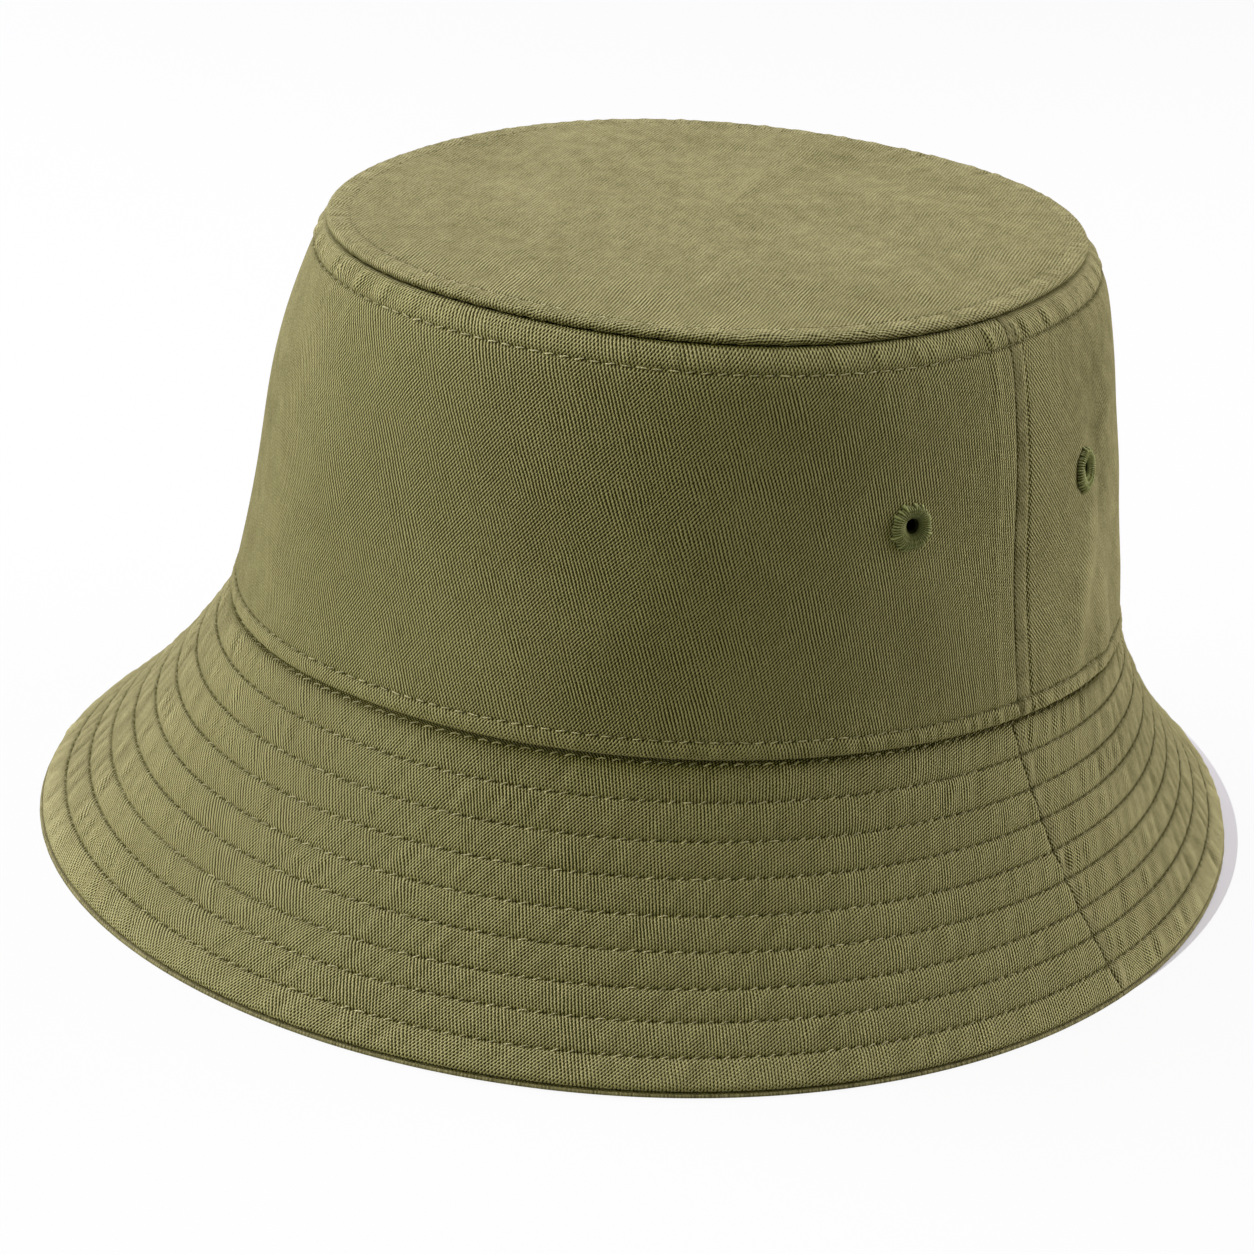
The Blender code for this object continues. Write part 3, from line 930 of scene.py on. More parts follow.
def wall_height(turn, rise):
    """How far the wall's cloth stands proud: hem bands, row grooves, puckers, seam lap and slack."""
    share = rise / CROWN
    top_gap = CROWN - rise
    row_gap = np.minimum(np.abs(top_gap - TOP_ROW), np.abs(rise - BASE_ROW))
    behind = behind_seam(turn, wall_seam(rise), WALL_RADIUS)
    ends = np.sin(np.pi * np.clip(share, 0, 1))
    at_top = np.where(rise > CROWN / 2, bell(wrap(turn - TOP_GATHER_AT), TOP_GATHER_HALF), 0)
    gathered = calm(turn) + TOP_GATHER * at_top
    base_pull = pull(rise, BASE_ROW) * puckers(turn, 0, 120, 12)
    top_pull = pull(top_gap, TOP_ROW) * puckers(turn, 0, 105, 11)
    base_hem = np.exp(-rise / HEM_REACH) * puckers(turn, 0, 150, 13)
    top_hem = np.exp(-top_gap / HEM_REACH) * puckers(turn, 0, 150, 14)
    forms = seam_forms(behind)
    forms["bands"] = band(top_gap, TOP_ROW) + band(rise, BASE_ROW)
    forms["ripple"] = (top_pull + base_pull) * gathered
    forms["groove"] = bell(row_gap, GROOVE_HALF)
    forms["ridge"] = bell(behind - RIDGE_PLACE + RIDGE_HALF, RIDGE_HALF)
    forms["front_ridge"] = bell(behind - FRONT_RIDGE_PLACE, RIDGE_HALF)
    forms["crease"] = bell(behind - RIDGE_PLACE, CREASE_HALF)
    forms["sag"] = ends * slack(turn, share, 21)
    forms["drags"] = drags(turn, share)
    forms["hem"] = base_hem + top_hem
    forms["tip_shade"] = np.exp(-top_gap / SEAM_SHADE)
    # painted light on the underside of the base fold, which faces down
    forms["lit_fold_edge"] = np.exp(-rise / FOLD_LIGHT_REACH)
    # painted shade over the wall's middle, between the front and the left seam
    forms["deep"] = ends * bell(wrap(turn - WALL_SHADE_MIDDLE), WALL_SHADE_HALF)
    proud, wear_and_shading = weigh(forms, WALL_MIX)
    tight = forms["bands"] * gathered * (TIGHT + TIGHT_SPREAD * slack(turn, share, 22))
    marks = {"wear_and_shading": np.clip(wear_and_shading, DEEPEST, PALEST), "tight": np.clip(tight, 0, 1), "row_gap": row_gap}
    marks["worn"] = np.maximum(worn_smooth(turn), bell(behind - PRESSED, PRESSED_HALF))
    return SimpleNamespace(proud=proud, marks=marks)


sample = wall_height(ONCE, np.full_like(ONCE, CROWN / 2)).proud
print("half way up, the wall stands", sample.min().round(4), "to", sample.max().round(4), "m proud")

# %% [markdown]
# The thread of a row lies at whole stitches along it, so each row needs its own measure of how many
# stitches have been sewn up to an angle. A table of the walked length gives that for any angle.

# %% Counting stitches along a row
STITCH = 0.0030


def stitch_count(line, turn):
    """Stitches sewn from the wearer's left to an angle, for a line given as a function of it."""
    total = run_length(line(ONCE))[-1]
    whole = np.round(total / STITCH)
    walked = run_length(line(ROUND)) / total * whole
    start = np.interp(0.0, ROUND, walked)
    return np.interp(turn, ROUND, walked) - start


def wall_row(rise):
    """Line of the wall at one rise, as a function of the angle."""
    return lambda turn: wall(turn, np.full_like(turn, rise), np.zeros_like(turn))


def wall_run(turn, rise):
    """Stitch count of the nearer of the wall's two rows."""
    top, base = (stitch_count(wall_row(row), turn) for row in (CROWN - TOP_ROW, BASE_ROW))
    return np.where(rise > CROWN / 2, top, base)


print("stitches round the base:", round(float(stitch_count(wall_row(BASE_ROW), 2 * np.pi)), 2))

# %% [markdown]
# ## Side panels
# A panel is cut as a bent strip, wider at the base than at the tip. Its grid runs over one section:
# allowance, fold, face, fold and allowance. Rows of the grid stand closer near the hems, where the cloth
# ripples most, and the faces inside the eyelet holes are left out.

# %% Eyelet places and panel sizes
BASE_ALLOWANCE = 0.009
TIP_ALLOWANCE = 0.0075
PANEL_GRAIN = 26.0
EYELET_TURN = math.radians(18.7)
EYELET_SHARE = 0.559
EYELET_HOLE = 0.0030
EYELET_RISE = CROWN * EYELET_SHARE
EYELET_SEAM = wall_seam(EYELET_RISE)
WALL_ARC = run_length(wall_line(ROUND, np.full_like(ROUND, 0.5)))
BASE_ARC = run_length(ring(ROUND, BASE))
HALF_BASE = BASE_ARC[-1] / 4
TIP_ARC = run_length(ring(ROUND, TIP))
HALF_TIP = TIP_ARC[-1] / 4
PANEL_SPREAD = (HALF_BASE - HALF_TIP) / CROWN
PANEL_RADIUS = HALF_BASE / PANEL_SPREAD
PANEL_COLUMNS = 400
FOLDS_A_RADIAN = WALL_RADIUS / STITCH
FRONT_EYELET_SHIFT = 0.007


def eyelet_middle(turn):
    """Point of the wall in the middle of an eyelet at an angle."""
    return wall(np.array([turn]), np.array([EYELET_RISE]), np.zeros(1))[0]


EYELETS = {"left_front": EYELET_SEAM - EYELET_TURN + FRONT_EYELET_SHIFT}
EYELETS["left_rear"] = EYELET_SEAM + EYELET_TURN
EYELETS |= {name.replace("left", "right"): np.pi - turn for name, turn in EYELETS.items()}
EYELET_MIDDLES = np.array([eyelet_middle(turn) for turn in EYELETS.values()])


def clear_of_eyelets(centres):
    """True for faces that stay: those further from every eyelet's middle than its hole."""
    apart = np.linalg.norm(centres[:, None] - EYELET_MIDDLES, axis=2)
    return apart.min(axis=1) > EYELET_HOLE


print("eyelets at", {name: round(float(turn), 3) for name, turn in EYELETS.items()})

# %% Side panels
FACE_START = 0.0014
FINE_BASE = 0.011
FINE_TOP = 0.013
COARSE_START = 0.013
COARSE_STOP = 0.0152
LIP_TURN = 0.004
HEM_STEPS = 9
TURNED_IN_WEAR = 0.5


def wall_section():
    """Rise, inset and flat length of each row of a panel: allowance, fold, face, fold, allowance."""
    inner, short = half_circle(HEM_RADIUS, HEM_STEPS)
    top = CROWN - GAP / 2
    near_base = np.linspace(FACE_START, FINE_BASE, 22)
    middle = np.linspace(COARSE_START, CROWN - COARSE_STOP, 30)
    near_top = np.linspace(CROWN - FINE_TOP, CROWN - FACE_START, 24)
    face = np.unique(np.concatenate([near_base, middle, near_top, [BASE_ROW, CROWN - TOP_ROW]]))
    base_lip = [BASE_ALLOWANCE, LIP_TURN]
    top_lip = [top - LIP_TURN, top - TIP_ALLOWANCE]
    rise = np.concatenate([base_lip, short, face, top - short, top_lip])
    lips = [HEM_DEPTH, HEM_DEPTH]
    inset = np.concatenate([lips, HEM_DEPTH - inner, np.zeros_like(face), inner, lips])
    walked = run_length(np.stack([rise, inset], axis=1))
    return rise, inset, walked - walked[np.argmin(inset)] + face[0]


def ring_cut(turn, arc, spread, radius, half, grain):
    """Place in a cut that is part of a flat ring: the arc from its middle becomes an angle of the ring."""
    middle = FRONT if half == "front" else -FRONT
    walked = np.interp(turn, ROUND, arc) - np.interp(middle, ROUND, arc)
    angle = walked / (arc[-1] / 4) * spread
    return turned(radius * np.sin(angle), -radius * np.cos(angle), grain)


def side_panel(half):
    """Panel from seam to seam: the wall carrier moved by the cloth's height, hems folded inside."""
    rise, inset, length = wall_section()
    turn = half_turns(wall_seam(rise), half, PANEL_COLUMNS)
    rise, inset, length = widened(turn, rise, inset, length)
    cloth = wall_height(turn, np.clip(rise, 0, CROWN))
    shown = np.clip(1 - inset / HEM_RADIUS, 0, 1)
    points = wall(turn, rise, cloth.proud * shown - inset)
    cut = ring_cut(turn, WALL_ARC, PANEL_SPREAD, PANEL_RADIUS - length, half, PANEL_GRAIN)
    marks = dict(cloth.marks, run=wall_run(turn, rise), fold=turn * FOLDS_A_RADIAN)
    marks["wear_and_shading"] = marks["wear_and_shading"] + TURNED_IN_WEAR * (inset > 0)
    marks["row_gap"] = marks["row_gap"] + inset
    return lay_cloth("crown_" + half, points, cut, CLOTH, keep=clear_of_eyelets, **marks)


for half in ("front", "rear"):
    place(side_panel(half), TWILL, "outer_twill", "side_panel_" + half)

# %% [markdown]
# ## Tip
# The round tip is one cut of cloth whose rim is folded under and rolls softly into the seam. A row of
# stitches runs a few millimetres inside the rim, with puckers between the two. Its rings start at the
# rim and shrink to a single point in the middle, where the faces close as a fan.

# %% Height of the tip's cloth
TIP_ROW = 0.0047
SAG_REACH = 0.05
TIP_ROW_SOFT = 0.00014
TIP_ROW_LOST = 0.0009
LOST_START = 0.8
LOST_SPAN = 0.7
BAND_LOST = 0.7
FOLD_LOST = 0.8
TIP_WORN = 0.85
TIP_FRESH = 0.55
TIP_FRESH_HALF = 1.0
TIP_TIGHT = 0.6
TIP_TIGHT_SPREAD = 0.4
RIM_CLEAR = HEM_DEPTH + GAP / 2
# form: height and tone, paler where washing fades the cloth and darker in the row groove as painted shade
TIP_MIX = {
    "dome": (TIP_DOME, 0.0),
    "sag": (0.0006, 0.0),
    "band": (BAND_PUFF, 0.0),
    "rim": (0.0, 0.35),
    "ripple": (BAND_PUCKER, 0.5),
    "groove": (-ROW_GROOVE / 2, -0.2),
    "fold": (HEM_RIPPLE, 0.0),
}


def tip_height(turn, inset):
    """Lift of the tip's cloth above its seam: fold, dome, band, row groove, puckers and sag."""
    share = 1 - inset / TIP.half_width
    row_gap = np.abs(inset - TIP_ROW)
    lost = ease((np.abs(wrap(turn - FRESH_MIDDLE)) - LOST_START) / LOST_SPAN)
    rim = band(inset, TIP_ROW)
    forms = {"dome": 1 - share**2, "rim": rim, "band": rim * (1 - BAND_LOST * lost)}
    forms["sag"] = np.sin(np.pi * np.clip(inset / SAG_REACH, 0, 1)) * slack(turn, share, 32)
    forms["ripple"] = pull(inset, TIP_ROW) * puckers(turn, 0, 95, 31)
    forms["groove"] = bell(row_gap, GROOVE_HALF) * (1 - BAND_LOST * lost)
    forms["fold"] = np.exp(-inset / HEM_REACH) * puckers(turn, 0, 140, 34) * (1 - FOLD_LOST * lost)
    lift, wear_and_shading = weigh(forms, TIP_MIX)
    tight = rim * np.clip(TIP_TIGHT + TIP_TIGHT_SPREAD * slack(turn, share, 33), 0, 1)
    fresh = TIP_FRESH * bell(wrap(turn - FRESH_MIDDLE), TIP_FRESH_HALF) * (1 - ease(inset / SAG_REACH))
    marks = {"wear_and_shading": np.clip(wear_and_shading, -1, 1), "tight": tight, "worn": TIP_WORN - fresh}
    marks["row_gap"] = row_gap + TIP_ROW_SOFT + TIP_ROW_LOST * lost
    return SimpleNamespace(lift=RIM_CLEAR + lift, marks=marks)


def tip_row(turn):
    """Line of the tip's row of stitches, as a function of the angle."""
    return tip(turn, np.full_like(turn, TIP_ROW), np.zeros_like(turn))


print("stitches round the tip:", round(float(stitch_count(tip_row, 2 * np.pi)), 2))

# %% [markdown]
# The grid of the tip starts at the allowance that is turned in, goes round the fold and then over the
# top. Its rings are closest at the rim, where the row of stitches lies.

# %% Tip
TIP_GRAIN = 24.0
TIP_COLUMNS = 480
TIP_FINE = 0.012
TIP_COARSE = 0.0135
TIP_LAST = 0.985
TIP_FOLD_WEAR = 0.4
TIP_FOLD_SHADE = 1.6
FOLD_SHADE_START = 0.2


def with_middle(grid):
    """Grid with one more row, all of it at the mean point of the last one."""
    return np.concatenate([grid, np.broadcast_to(grid[-1:].mean(axis=1), grid[-1:].shape)])


def crown_tip():
    """Tip from its turned-in allowance, round the fold and over the top to the middle."""
    inner, short = half_circle(HEM_RADIUS, HEM_STEPS)
    near_rim = np.linspace(FACE_START, TIP_FINE, 28)
    far = np.linspace(TIP_COARSE, TIP.half_width * TIP_LAST, 36)
    face = np.unique(np.concatenate([near_rim, far, [TIP_ROW]]))
    inset = np.concatenate([[TIP_ALLOWANCE, LIP_TURN], short, face])
    depth = np.concatenate([[HEM_DEPTH, HEM_DEPTH], HEM_DEPTH - inner, np.zeros_like(face)])
    walked = run_length(np.stack([inset, depth], axis=1))
    first = len(inset) - len(face)
    flat = np.where(depth > 0, face[0] - (walked[first] - walked), inset)
    columns = np.linspace(-np.pi, np.pi, TIP_COLUMNS, endpoint=False)
    turn = np.broadcast_to(columns, (len(inset), len(columns)))
    inset, depth, flat = widened(turn, inset, depth, flat)
    cloth = tip_height(turn, np.where(depth > 0, 0, inset))
    points = with_middle(tip(turn, inset, cloth.lift - depth))
    spread = closed(with_middle(tip(turn, flat, np.zeros_like(turn))))
    cut = turned(spread[..., 0], spread[..., 1], TIP_GRAIN)
    marks = dict(cloth.marks, run=stitch_count(tip_row, turn), fold=turn * FOLDS_A_RADIAN)
    shade = TIP_FOLD_SHADE * ease(2 * (depth / HEM_DEPTH - FOLD_SHADE_START))
    marks["wear_and_shading"] = marks["wear_and_shading"] + TIP_FOLD_WEAR * (depth > 0) - shade
    marks["row_gap"] = marks["row_gap"] + depth
    marks = {mark: np.concatenate([values, values[-1:]]) for mark, values in marks.items()}
    return lay_cloth("crown_top", points, cut, CLOTH, around=True, **marks)


place(crown_tip(), TWILL, "outer_twill", "crown_tip")

# %% [markdown]
# ## Brim
# The upper brim layer is quilted: nine rows of stitches press it down, and it puffs and puckers
# between them. It was cut as half of a flat ring, so its ribs stay parallel in that flat ring and
# turn against the radius on the hat. The under layer is rolled round the edge and peeks out below.

# %% Height of the brim's cloth
NO_ROW = 1.0
UNDER_FOLD = 0.00030
FOLD_SHADE = 0.0009
CHANNEL_PUFF = 0.00055
CHANNEL_GROOVE = 0.00022
PUFF_MIDDLE = 0.6
PUFF_WORN = 0.65
PUCKER_SKEW = 0.03
PUCKER_WORN = 1.2
LAST_PUCKER = 0.3
PUCKER_END = 0.945
PUCKER_FADE = 0.045
SEAM_FLAT = 0.5
GATHER_START = 0.0035
GATHER_BEHIND = 0.016
GATHER_AHEAD = 0.006
AHEAD_PART = 0.4
BRIM_TIGHT = 0.12
SEAM_TIGHT = 0.9
BRIM_TIGHT_SPREAD = 0.2
BRIM_CRISP = 0.4
BRIM_PALEST = 1.0
# form: height and tone, paler where washing fades the cloth, with painted shade in the row grooves, at the
# seam and under the base fold
BRIM_RADIUS = 0.110
# form: height and fading
BRIM_MIX = {
    "puff": (CHANNEL_PUFF, 0.0),
    "crest": (0.0, 0.25),
    "ripple": (0.00014, 0.35),
    "gather": (0.00034, 0.3),
    "groove": (-CHANNEL_GROOVE, -0.3),
    "lap": (LIP, 0.6),
    "dip": (-SEAM_DIP, -1.5),
    "lap_shade": (0.0, -2.2),
    # painted light over the fresh front of the brim
    "crisp_and_lit": (0.0, 0.55),
    "fold_shade": (0.0, -4.0),
}


def gathered_by_seam(behind):
    """Where the brim seam gathers the cloth: well behind it, and a little ahead of it."""
    after = np.exp(-np.abs(behind) / GATHER_BEHIND) * ease(behind / GATHER_START)
    ahead = AHEAD_PART * np.exp(-np.abs(behind) / GATHER_AHEAD)
    return np.where(behind > 0, after, ahead)


def brim_height(turn, share):
    """How far the upper layer stands proud: puffed channels, row grooves, puckers and the seam lap."""
    lane, part = channel(share)
    width = brim_lay(turn).width
    row_gap = np.abs(share - ROW_SHARES[lane]) * width + UNDER_FOLD * (lane == 0)
    next_gap = np.where(lane < ROW_COUNT - 1, np.abs(ROW_SHARES[lane + 1] - share) * width, NO_ROW)
    row_gap = np.minimum(row_gap, next_gap)
    behind = behind_seam(turn, brim_seam(share), BRIM_RADIUS)
    near = gathered_by_seam(behind)
    rubbed = worn_smooth(turn)
    crisp_and_lit = 1 - rubbed
    swell = np.sin(np.pi * part)
    puff = np.sqrt(swell) * (1 - SEAM_FLAT * bell(behind, PRESSED_HALF))
    skew = turn + PUCKER_SKEW * (part - 0.5) * np.sign(np.cos(turn))
    ripple = swell * puckers(skew, lane, 95, 41, ROW_COUNT) * (1 + PUCKER_WORN * rubbed)
    ripple = ripple * (1 + LAST_PUCKER * (lane == ROW_COUNT - 1))
    forms = seam_forms(behind) | {"crisp_and_lit": crisp_and_lit, "crest": puff - PUFF_MIDDLE}
    forms["puff"] = puff * (PUFF_WORN + (1 - PUFF_WORN) * crisp_and_lit)
    forms["ripple"] = ripple * (1 - ease((share - PUCKER_END) / PUCKER_FADE))
    forms["gather"] = swell * near * puckers(skew, lane, 140, 42, ROW_COUNT)
    forms["groove"] = bell(row_gap, GROOVE_HALF)
    forms["fold_shade"] = np.exp(-share * width / FOLD_SHADE)
    lift, wear_and_shading = weigh(forms, BRIM_MIX)
    drawn = BRIM_TIGHT + SEAM_TIGHT * near + BRIM_TIGHT_SPREAD * slack(turn, share, 43)
    marks = {"wear_and_shading": np.clip(wear_and_shading, DEEPEST, BRIM_PALEST), "tight": swell * np.clip(drawn, 0, 1)}
    marks["row_gap"] = row_gap
    marks["worn"] = np.maximum(rubbed, bell(behind - PRESSED, PRESSED_HALF)) - BRIM_CRISP * crisp_and_lit
    return SimpleNamespace(lift=lift, marks=marks)


sample = brim_height(ONCE, np.full_like(ONCE, ROW_SHARES[4:6].mean())).lift
print("between two rows, the brim stands", sample.min().round(4), "to", sample.max().round(4), "m proud")

# %% [markdown]
# Each of the nine rows has its own number of whole stitches, and the cloth beside a row has to know
# which stitch is next to it, so that its pinholes lie at the ends of the thread.

# %% Stitches of the brim rows
def brim_row(row):
    """Line of one row of the brim, as a function of the angle."""
    share = ROW_SHARES[row]
    return lambda turn: brim(turn, np.full_like(turn, share), np.zeros_like(turn))


def brim_run(turn, share):
    """Stitch count of the nearest brim row."""
    lane, part = channel(share)
    nearest = np.minimum(lane + (part > 0.5), ROW_COUNT - 1)
    counts = np.stack([stitch_count(brim_row(row), turn) for row in range(ROW_COUNT)])
    return np.take_along_axis(counts, nearest[None], axis=0)[0]


row_stitches = [int(stitch_count(brim_row(row), 2 * np.pi).round()) for row in range(ROW_COUNT)]
print("stitches in the rows:", row_stitches)

# %% [markdown]
# A half of the brim lies flat as half of a ring. The lengths of its inner and outer seam and its width
# give that ring's radius and how far it spreads, so the ribs can be drawn as they were cut.

# %% Flat cut of a brim half
BRIM_GRAIN = {"front": 35.0, "rear": -20.0}
EDGE_ARC = run_length(brim_edge(ROUND))
BRIM_WIDTH = float(brim_width.mean())
HALF_EDGE = float(np.interp(np.pi, ROUND, EDGE_ARC) - np.interp(0, ROUND, EDGE_ARC))
CUT_SPREAD = float(HALF_EDGE - HALF_BASE) / BRIM_WIDTH
CUT_RADIUS = float(HALF_BASE) / CUT_SPREAD


def brim_cut(turn, share, half):
    """Place in the flat cut, where the share becomes a radius of the ring."""
    radius = CUT_RADIUS + share * BRIM_WIDTH
    return ring_cut(turn, BASE_ARC, CUT_SPREAD, radius, half, BRIM_GRAIN[half])


print("flat brim half:", round(math.degrees(CUT_SPREAD), 1), "degrees, inner radius", round(CUT_RADIUS, 4))

# %% [markdown]
# The upper layer runs from its rim up to the base seam, turns up there and stands as a collar inside
# the crown. Its rows are closest beside the stitches, where the cloth bends most.

# %% Upper brim layer
EDGE_ROLL = 0.0012
CHANNEL_STEPS = 12
FACE_END = 1 - EDGE_ROLL / BRIM_WIDTH
RIM_SHARE = 0.965
RIM_DROP = 0.0003
RIM_WEAR = 0.5
EDGE_WEAR = 0.8
EDGE_WEAR_START = 0.85
EDGE_WEAR_SPAN = 0.12
UPPER_COLUMNS = 330
COLLAR_SHARES = np.array([-0.04, -0.18])


def channel_shares(last):
    """Shares from row to row, closer together near each row, up to a last share at the edge."""
    steps = (1 - np.cos(np.linspace(0, np.pi, CHANNEL_STEPS, endpoint=False))) / 2
    ends = np.append(ROW_SHARES[:-1], last)
    return np.append((ends[:-1, None] + np.diff(ends)[:, None] * steps).ravel(), last)


def collar(turn, inset, below):
    """Corner where a brim layer turns up inside the crown, and the collar that stands up from it."""
    stand = wall(turn, np.full_like(turn, BASE_ALLOWANCE), np.full_like(turn, -inset))
    return np.stack([brim_corner(turn, inset, below), stand])


def with_collar(values, edge):
    """Rows of values from the rim inwards, and two more rows for the corner and the collar."""
    return np.concatenate([values, np.broadcast_to(edge, (2,) + values.shape[1:])])


def brim_top(half):
    """Upper layer: a rim that rolls down, quilted face, corner and the collar inside the crown."""
    share = channel_shares(FACE_END)[::-1]
    turn = half_turns(brim_seam(share), half, UPPER_COLUMNS)
    share = np.broadcast_to(share[:, None], turn.shape)
    cloth = brim_height(turn, share)
    rim = np.clip((share - RIM_SHARE) / (FACE_END - RIM_SHARE), 0, 1)
    face = brim(turn, share, cloth.lift * (1 - rim**2) - RIM_DROP * rim**3)
    points = np.concatenate([face, collar(turn[-1], HEM_DEPTH + GAP, 0.0)])
    cut = brim_cut(with_collar(turn, turn[-1]), with_collar(share, COLLAR_SHARES[:, None]), half)
    marks = dict(cloth.marks, run=brim_run(turn, share), fold=turn * FOLDS_A_RADIAN)
    faded = RIM_WEAR * rim + EDGE_WEAR * ease((share - EDGE_WEAR_START) / EDGE_WEAR_SPAN)
    marks["wear_and_shading"] = marks["wear_and_shading"] + faded
    marks = {mark: with_collar(values, values[-1]) for mark, values in marks.items()}
    return lay_cloth("brim_upper_" + half, points, cut, CLOTH, **marks)


for half in ("front", "rear"):
    place(brim_top(half), TWILL, "outer_twill", "brim_top_" + half)

# %% [markdown]
# The lower layer is the same quilt upside down. At the edge it rolls up round the upper layer, so a
# thin lip of it shows from above. Its lowest points are held at the floor, where the hat stands.

# %% Under brim layer
UNDER_DEPTH = 2 * CLOTH + 2 * GAP + STIFFENER
UNDER_INSET = HEM_DEPTH + 2 * GAP + 2 * CLOTH
UNDER_PUFF = 0.6
ROLL_STEPS = 9
RIM_WAVE = 0.00004
RIM_FADE = 0.06
UNDER_COLUMNS = 240
ROLL_WEAR = 0.1


def brim_under(half):
    """Lower layer: collar, corner, quilted lower face, and a roll up round the edge of the upper one."""
    share = channel_shares(FACE_END)[1:]
    bend = np.linspace(0, np.pi / 2, ROLL_STEPS)[1:]
    roll_short = np.append(EDGE_ROLL - EDGE_ROLL * np.sin(bend), 0.0)
    roll_depth = np.append(EDGE_ROLL + EDGE_ROLL * np.cos(bend), CLOTH)
    shares = np.concatenate([share, 1 - roll_short / BRIM_WIDTH])[::-1]
    depth = np.concatenate([np.full_like(share, UNDER_DEPTH), roll_depth])[::-1]
    walked = run_length(np.stack([shares * BRIM_WIDTH, depth], axis=1)) / BRIM_WIDTH
    flat = np.where(depth < UNDER_DEPTH, FACE_END + walked[ROLL_STEPS] - walked, shares)
    turn = half_turns(brim_seam(shares) + SEAM_SHIFT, half, UNDER_COLUMNS)
    shares, depth, flat = widened(turn, shares, depth, flat)
    cloth = brim_height(turn, shares)
    rolled = depth < UNDER_DEPTH
    inward = np.clip((1 - shares) / RIM_FADE, 0, 1)
    rim = RIM_WAVE * puckers(turn, 0, 120, 44) * (1 - inward)
    face = brim(turn, shares, rim - depth - UNDER_PUFF * cloth.lift * np.where(rolled, 0, inward))
    points = np.concatenate([face, collar(turn[-1], UNDER_INSET, UNDER_DEPTH)])
    points[..., 2] = np.maximum(points[..., 2], 0.0)
    cut = brim_cut(with_collar(turn, turn[-1]), with_collar(flat, COLLAR_SHARES[:, None]), half)
    marks = dict(cloth.marks, run=brim_run(turn, shares), fold=turn * FOLDS_A_RADIAN)
    marks["wear_and_shading"] = np.where(rolled, ROLL_WEAR, marks["wear_and_shading"])
    marks["worn"] = np.where(rolled, 1.0, marks["worn"])
    marks["row_gap"] = np.where(rolled, NO_ROW, marks["row_gap"])
    marks = {mark: with_collar(values, values[-1])[::-1] for mark, values in marks.items()}
    return lay_cloth("brim_lower_" + half, points[::-1], cut[::-1], CLOTH, **marks)


for half in ("front", "rear"):
    place(brim_under(half), TWILL, "outer_twill", "brim_under_" + half)

# %% [markdown]
# ## Inside pieces
# Between the brim layers lies a plain stiffener. Inside the crown a sweatband covers the base seam,
# and tapes cover the tip seam and the side seams. They are seen from below, so their visible faces
# look inwards, and the rows of their grids run downwards to turn the normals that way.

# %% Stiffener
STIFFENER_OUTER = 0.93
STIFFENER_INNER = 0.03
STIFFENER_ROWS = 40
STIFFENER_COLUMNS = 160


def brim_stiffener(half):
    """Plain sheet between the layers, just under the upper one."""
    share = np.linspace(STIFFENER_OUTER, STIFFENER_INNER, STIFFENER_ROWS)
    turn = half_turns(brim_seam(share), half, STIFFENER_COLUMNS, STIFFENER_CLEAR)
    share = np.broadcast_to(share[:, None], turn.shape)
    points = brim(turn, share, np.full_like(turn, -CLOTH - GAP))
    return lay_cloth("brim_stiffener_" + half, points, brim_cut(turn, share, half), STIFFENER)


for half in ("front", "rear"):
    place(brim_stiffener(half), STIFFENER_FINISH, "interlining", "brim_interlining_" + half)

# %% [markdown]
# The sweatband is one strip that starts at the back and laps over its own start there. Its lower edge
# is sewn to the base seam, and its upper edge is free, so it ripples.

# %% Sweatband
BAND = 0.0008
BAND_WIDTH = 0.032
BAND_LAP = 0.10
BAND_START = math.pi / 2
BAND_INSET = UNDER_INSET + 2 * GAP + BAND
BAND_ROWS = 26
BAND_COLUMNS = 520
LAP_RAMP = 0.03
FREE_RIPPLE = 0.0008
BAND_HEM = 0.0002
BAND_HEM_WIDTH = 0.004


def sweatband():
    """Band whose far end laps over its start at the back, with a soft ripple along its free edge."""
    columns = BAND_START + np.linspace(0, 2 * np.pi + BAND_LAP, BAND_COLUMNS)
    rise, turn = np.meshgrid(np.linspace(BAND_WIDTH, 0.0, BAND_ROWS), columns, indexing="ij")
    over = ease((turn - BAND_START - 2 * np.pi + LAP_RAMP) / LAP_RAMP)
    free = (rise / BAND_WIDTH) ** 2
    ripple = np.clip((1 + puckers(turn, 0, 22, 51)) / 2, 0, None) * FREE_RIPPLE * free
    hem = BAND_HEM * np.sin(np.pi * np.clip((BAND_WIDTH - rise) / BAND_HEM_WIDTH, 0, 1))
    points = wall(turn, rise, -BAND_INSET - over * (BAND + GAP / 3) - ripple - hem)
    cut = np.stack([np.interp(turn - 2 * np.pi, ROUND, WALL_ARC), rise], axis=-1)
    return lay_cloth("sweatband_strip", points, cut, BAND)


place(sweatband(), LINING, "sweatband_cotton", "sweatband")

# %% [markdown]
# A tape covers the raw edges of a seam. The one at the tip is bent into the corner between tip and wall,
# and the two at the sides run down their seams and in behind the sweatband.

# %% Tapes over the inside seams
TAPE = 0.0005
TAPE_REACH = 0.0095
SIDE_TAPE_SPREAD = 0.055
SIDE_TAPE_CLEAR = 0.011
SIDE_TAPE_INSET = 2 * CLOTH + TAPE / 2
SIDE_TAPE_ROWS = 60
SIDE_TAPE_COLUMNS = 12
SIDE_TAPE_WAVE = 0.0016
TIP_TAPE_ROWS = 7
TIP_TAPE_COLUMNS = 400
TAPE_RIPPLE = 0.00012
TAPE_INSET = HEM_DEPTH + GAP + TAPE


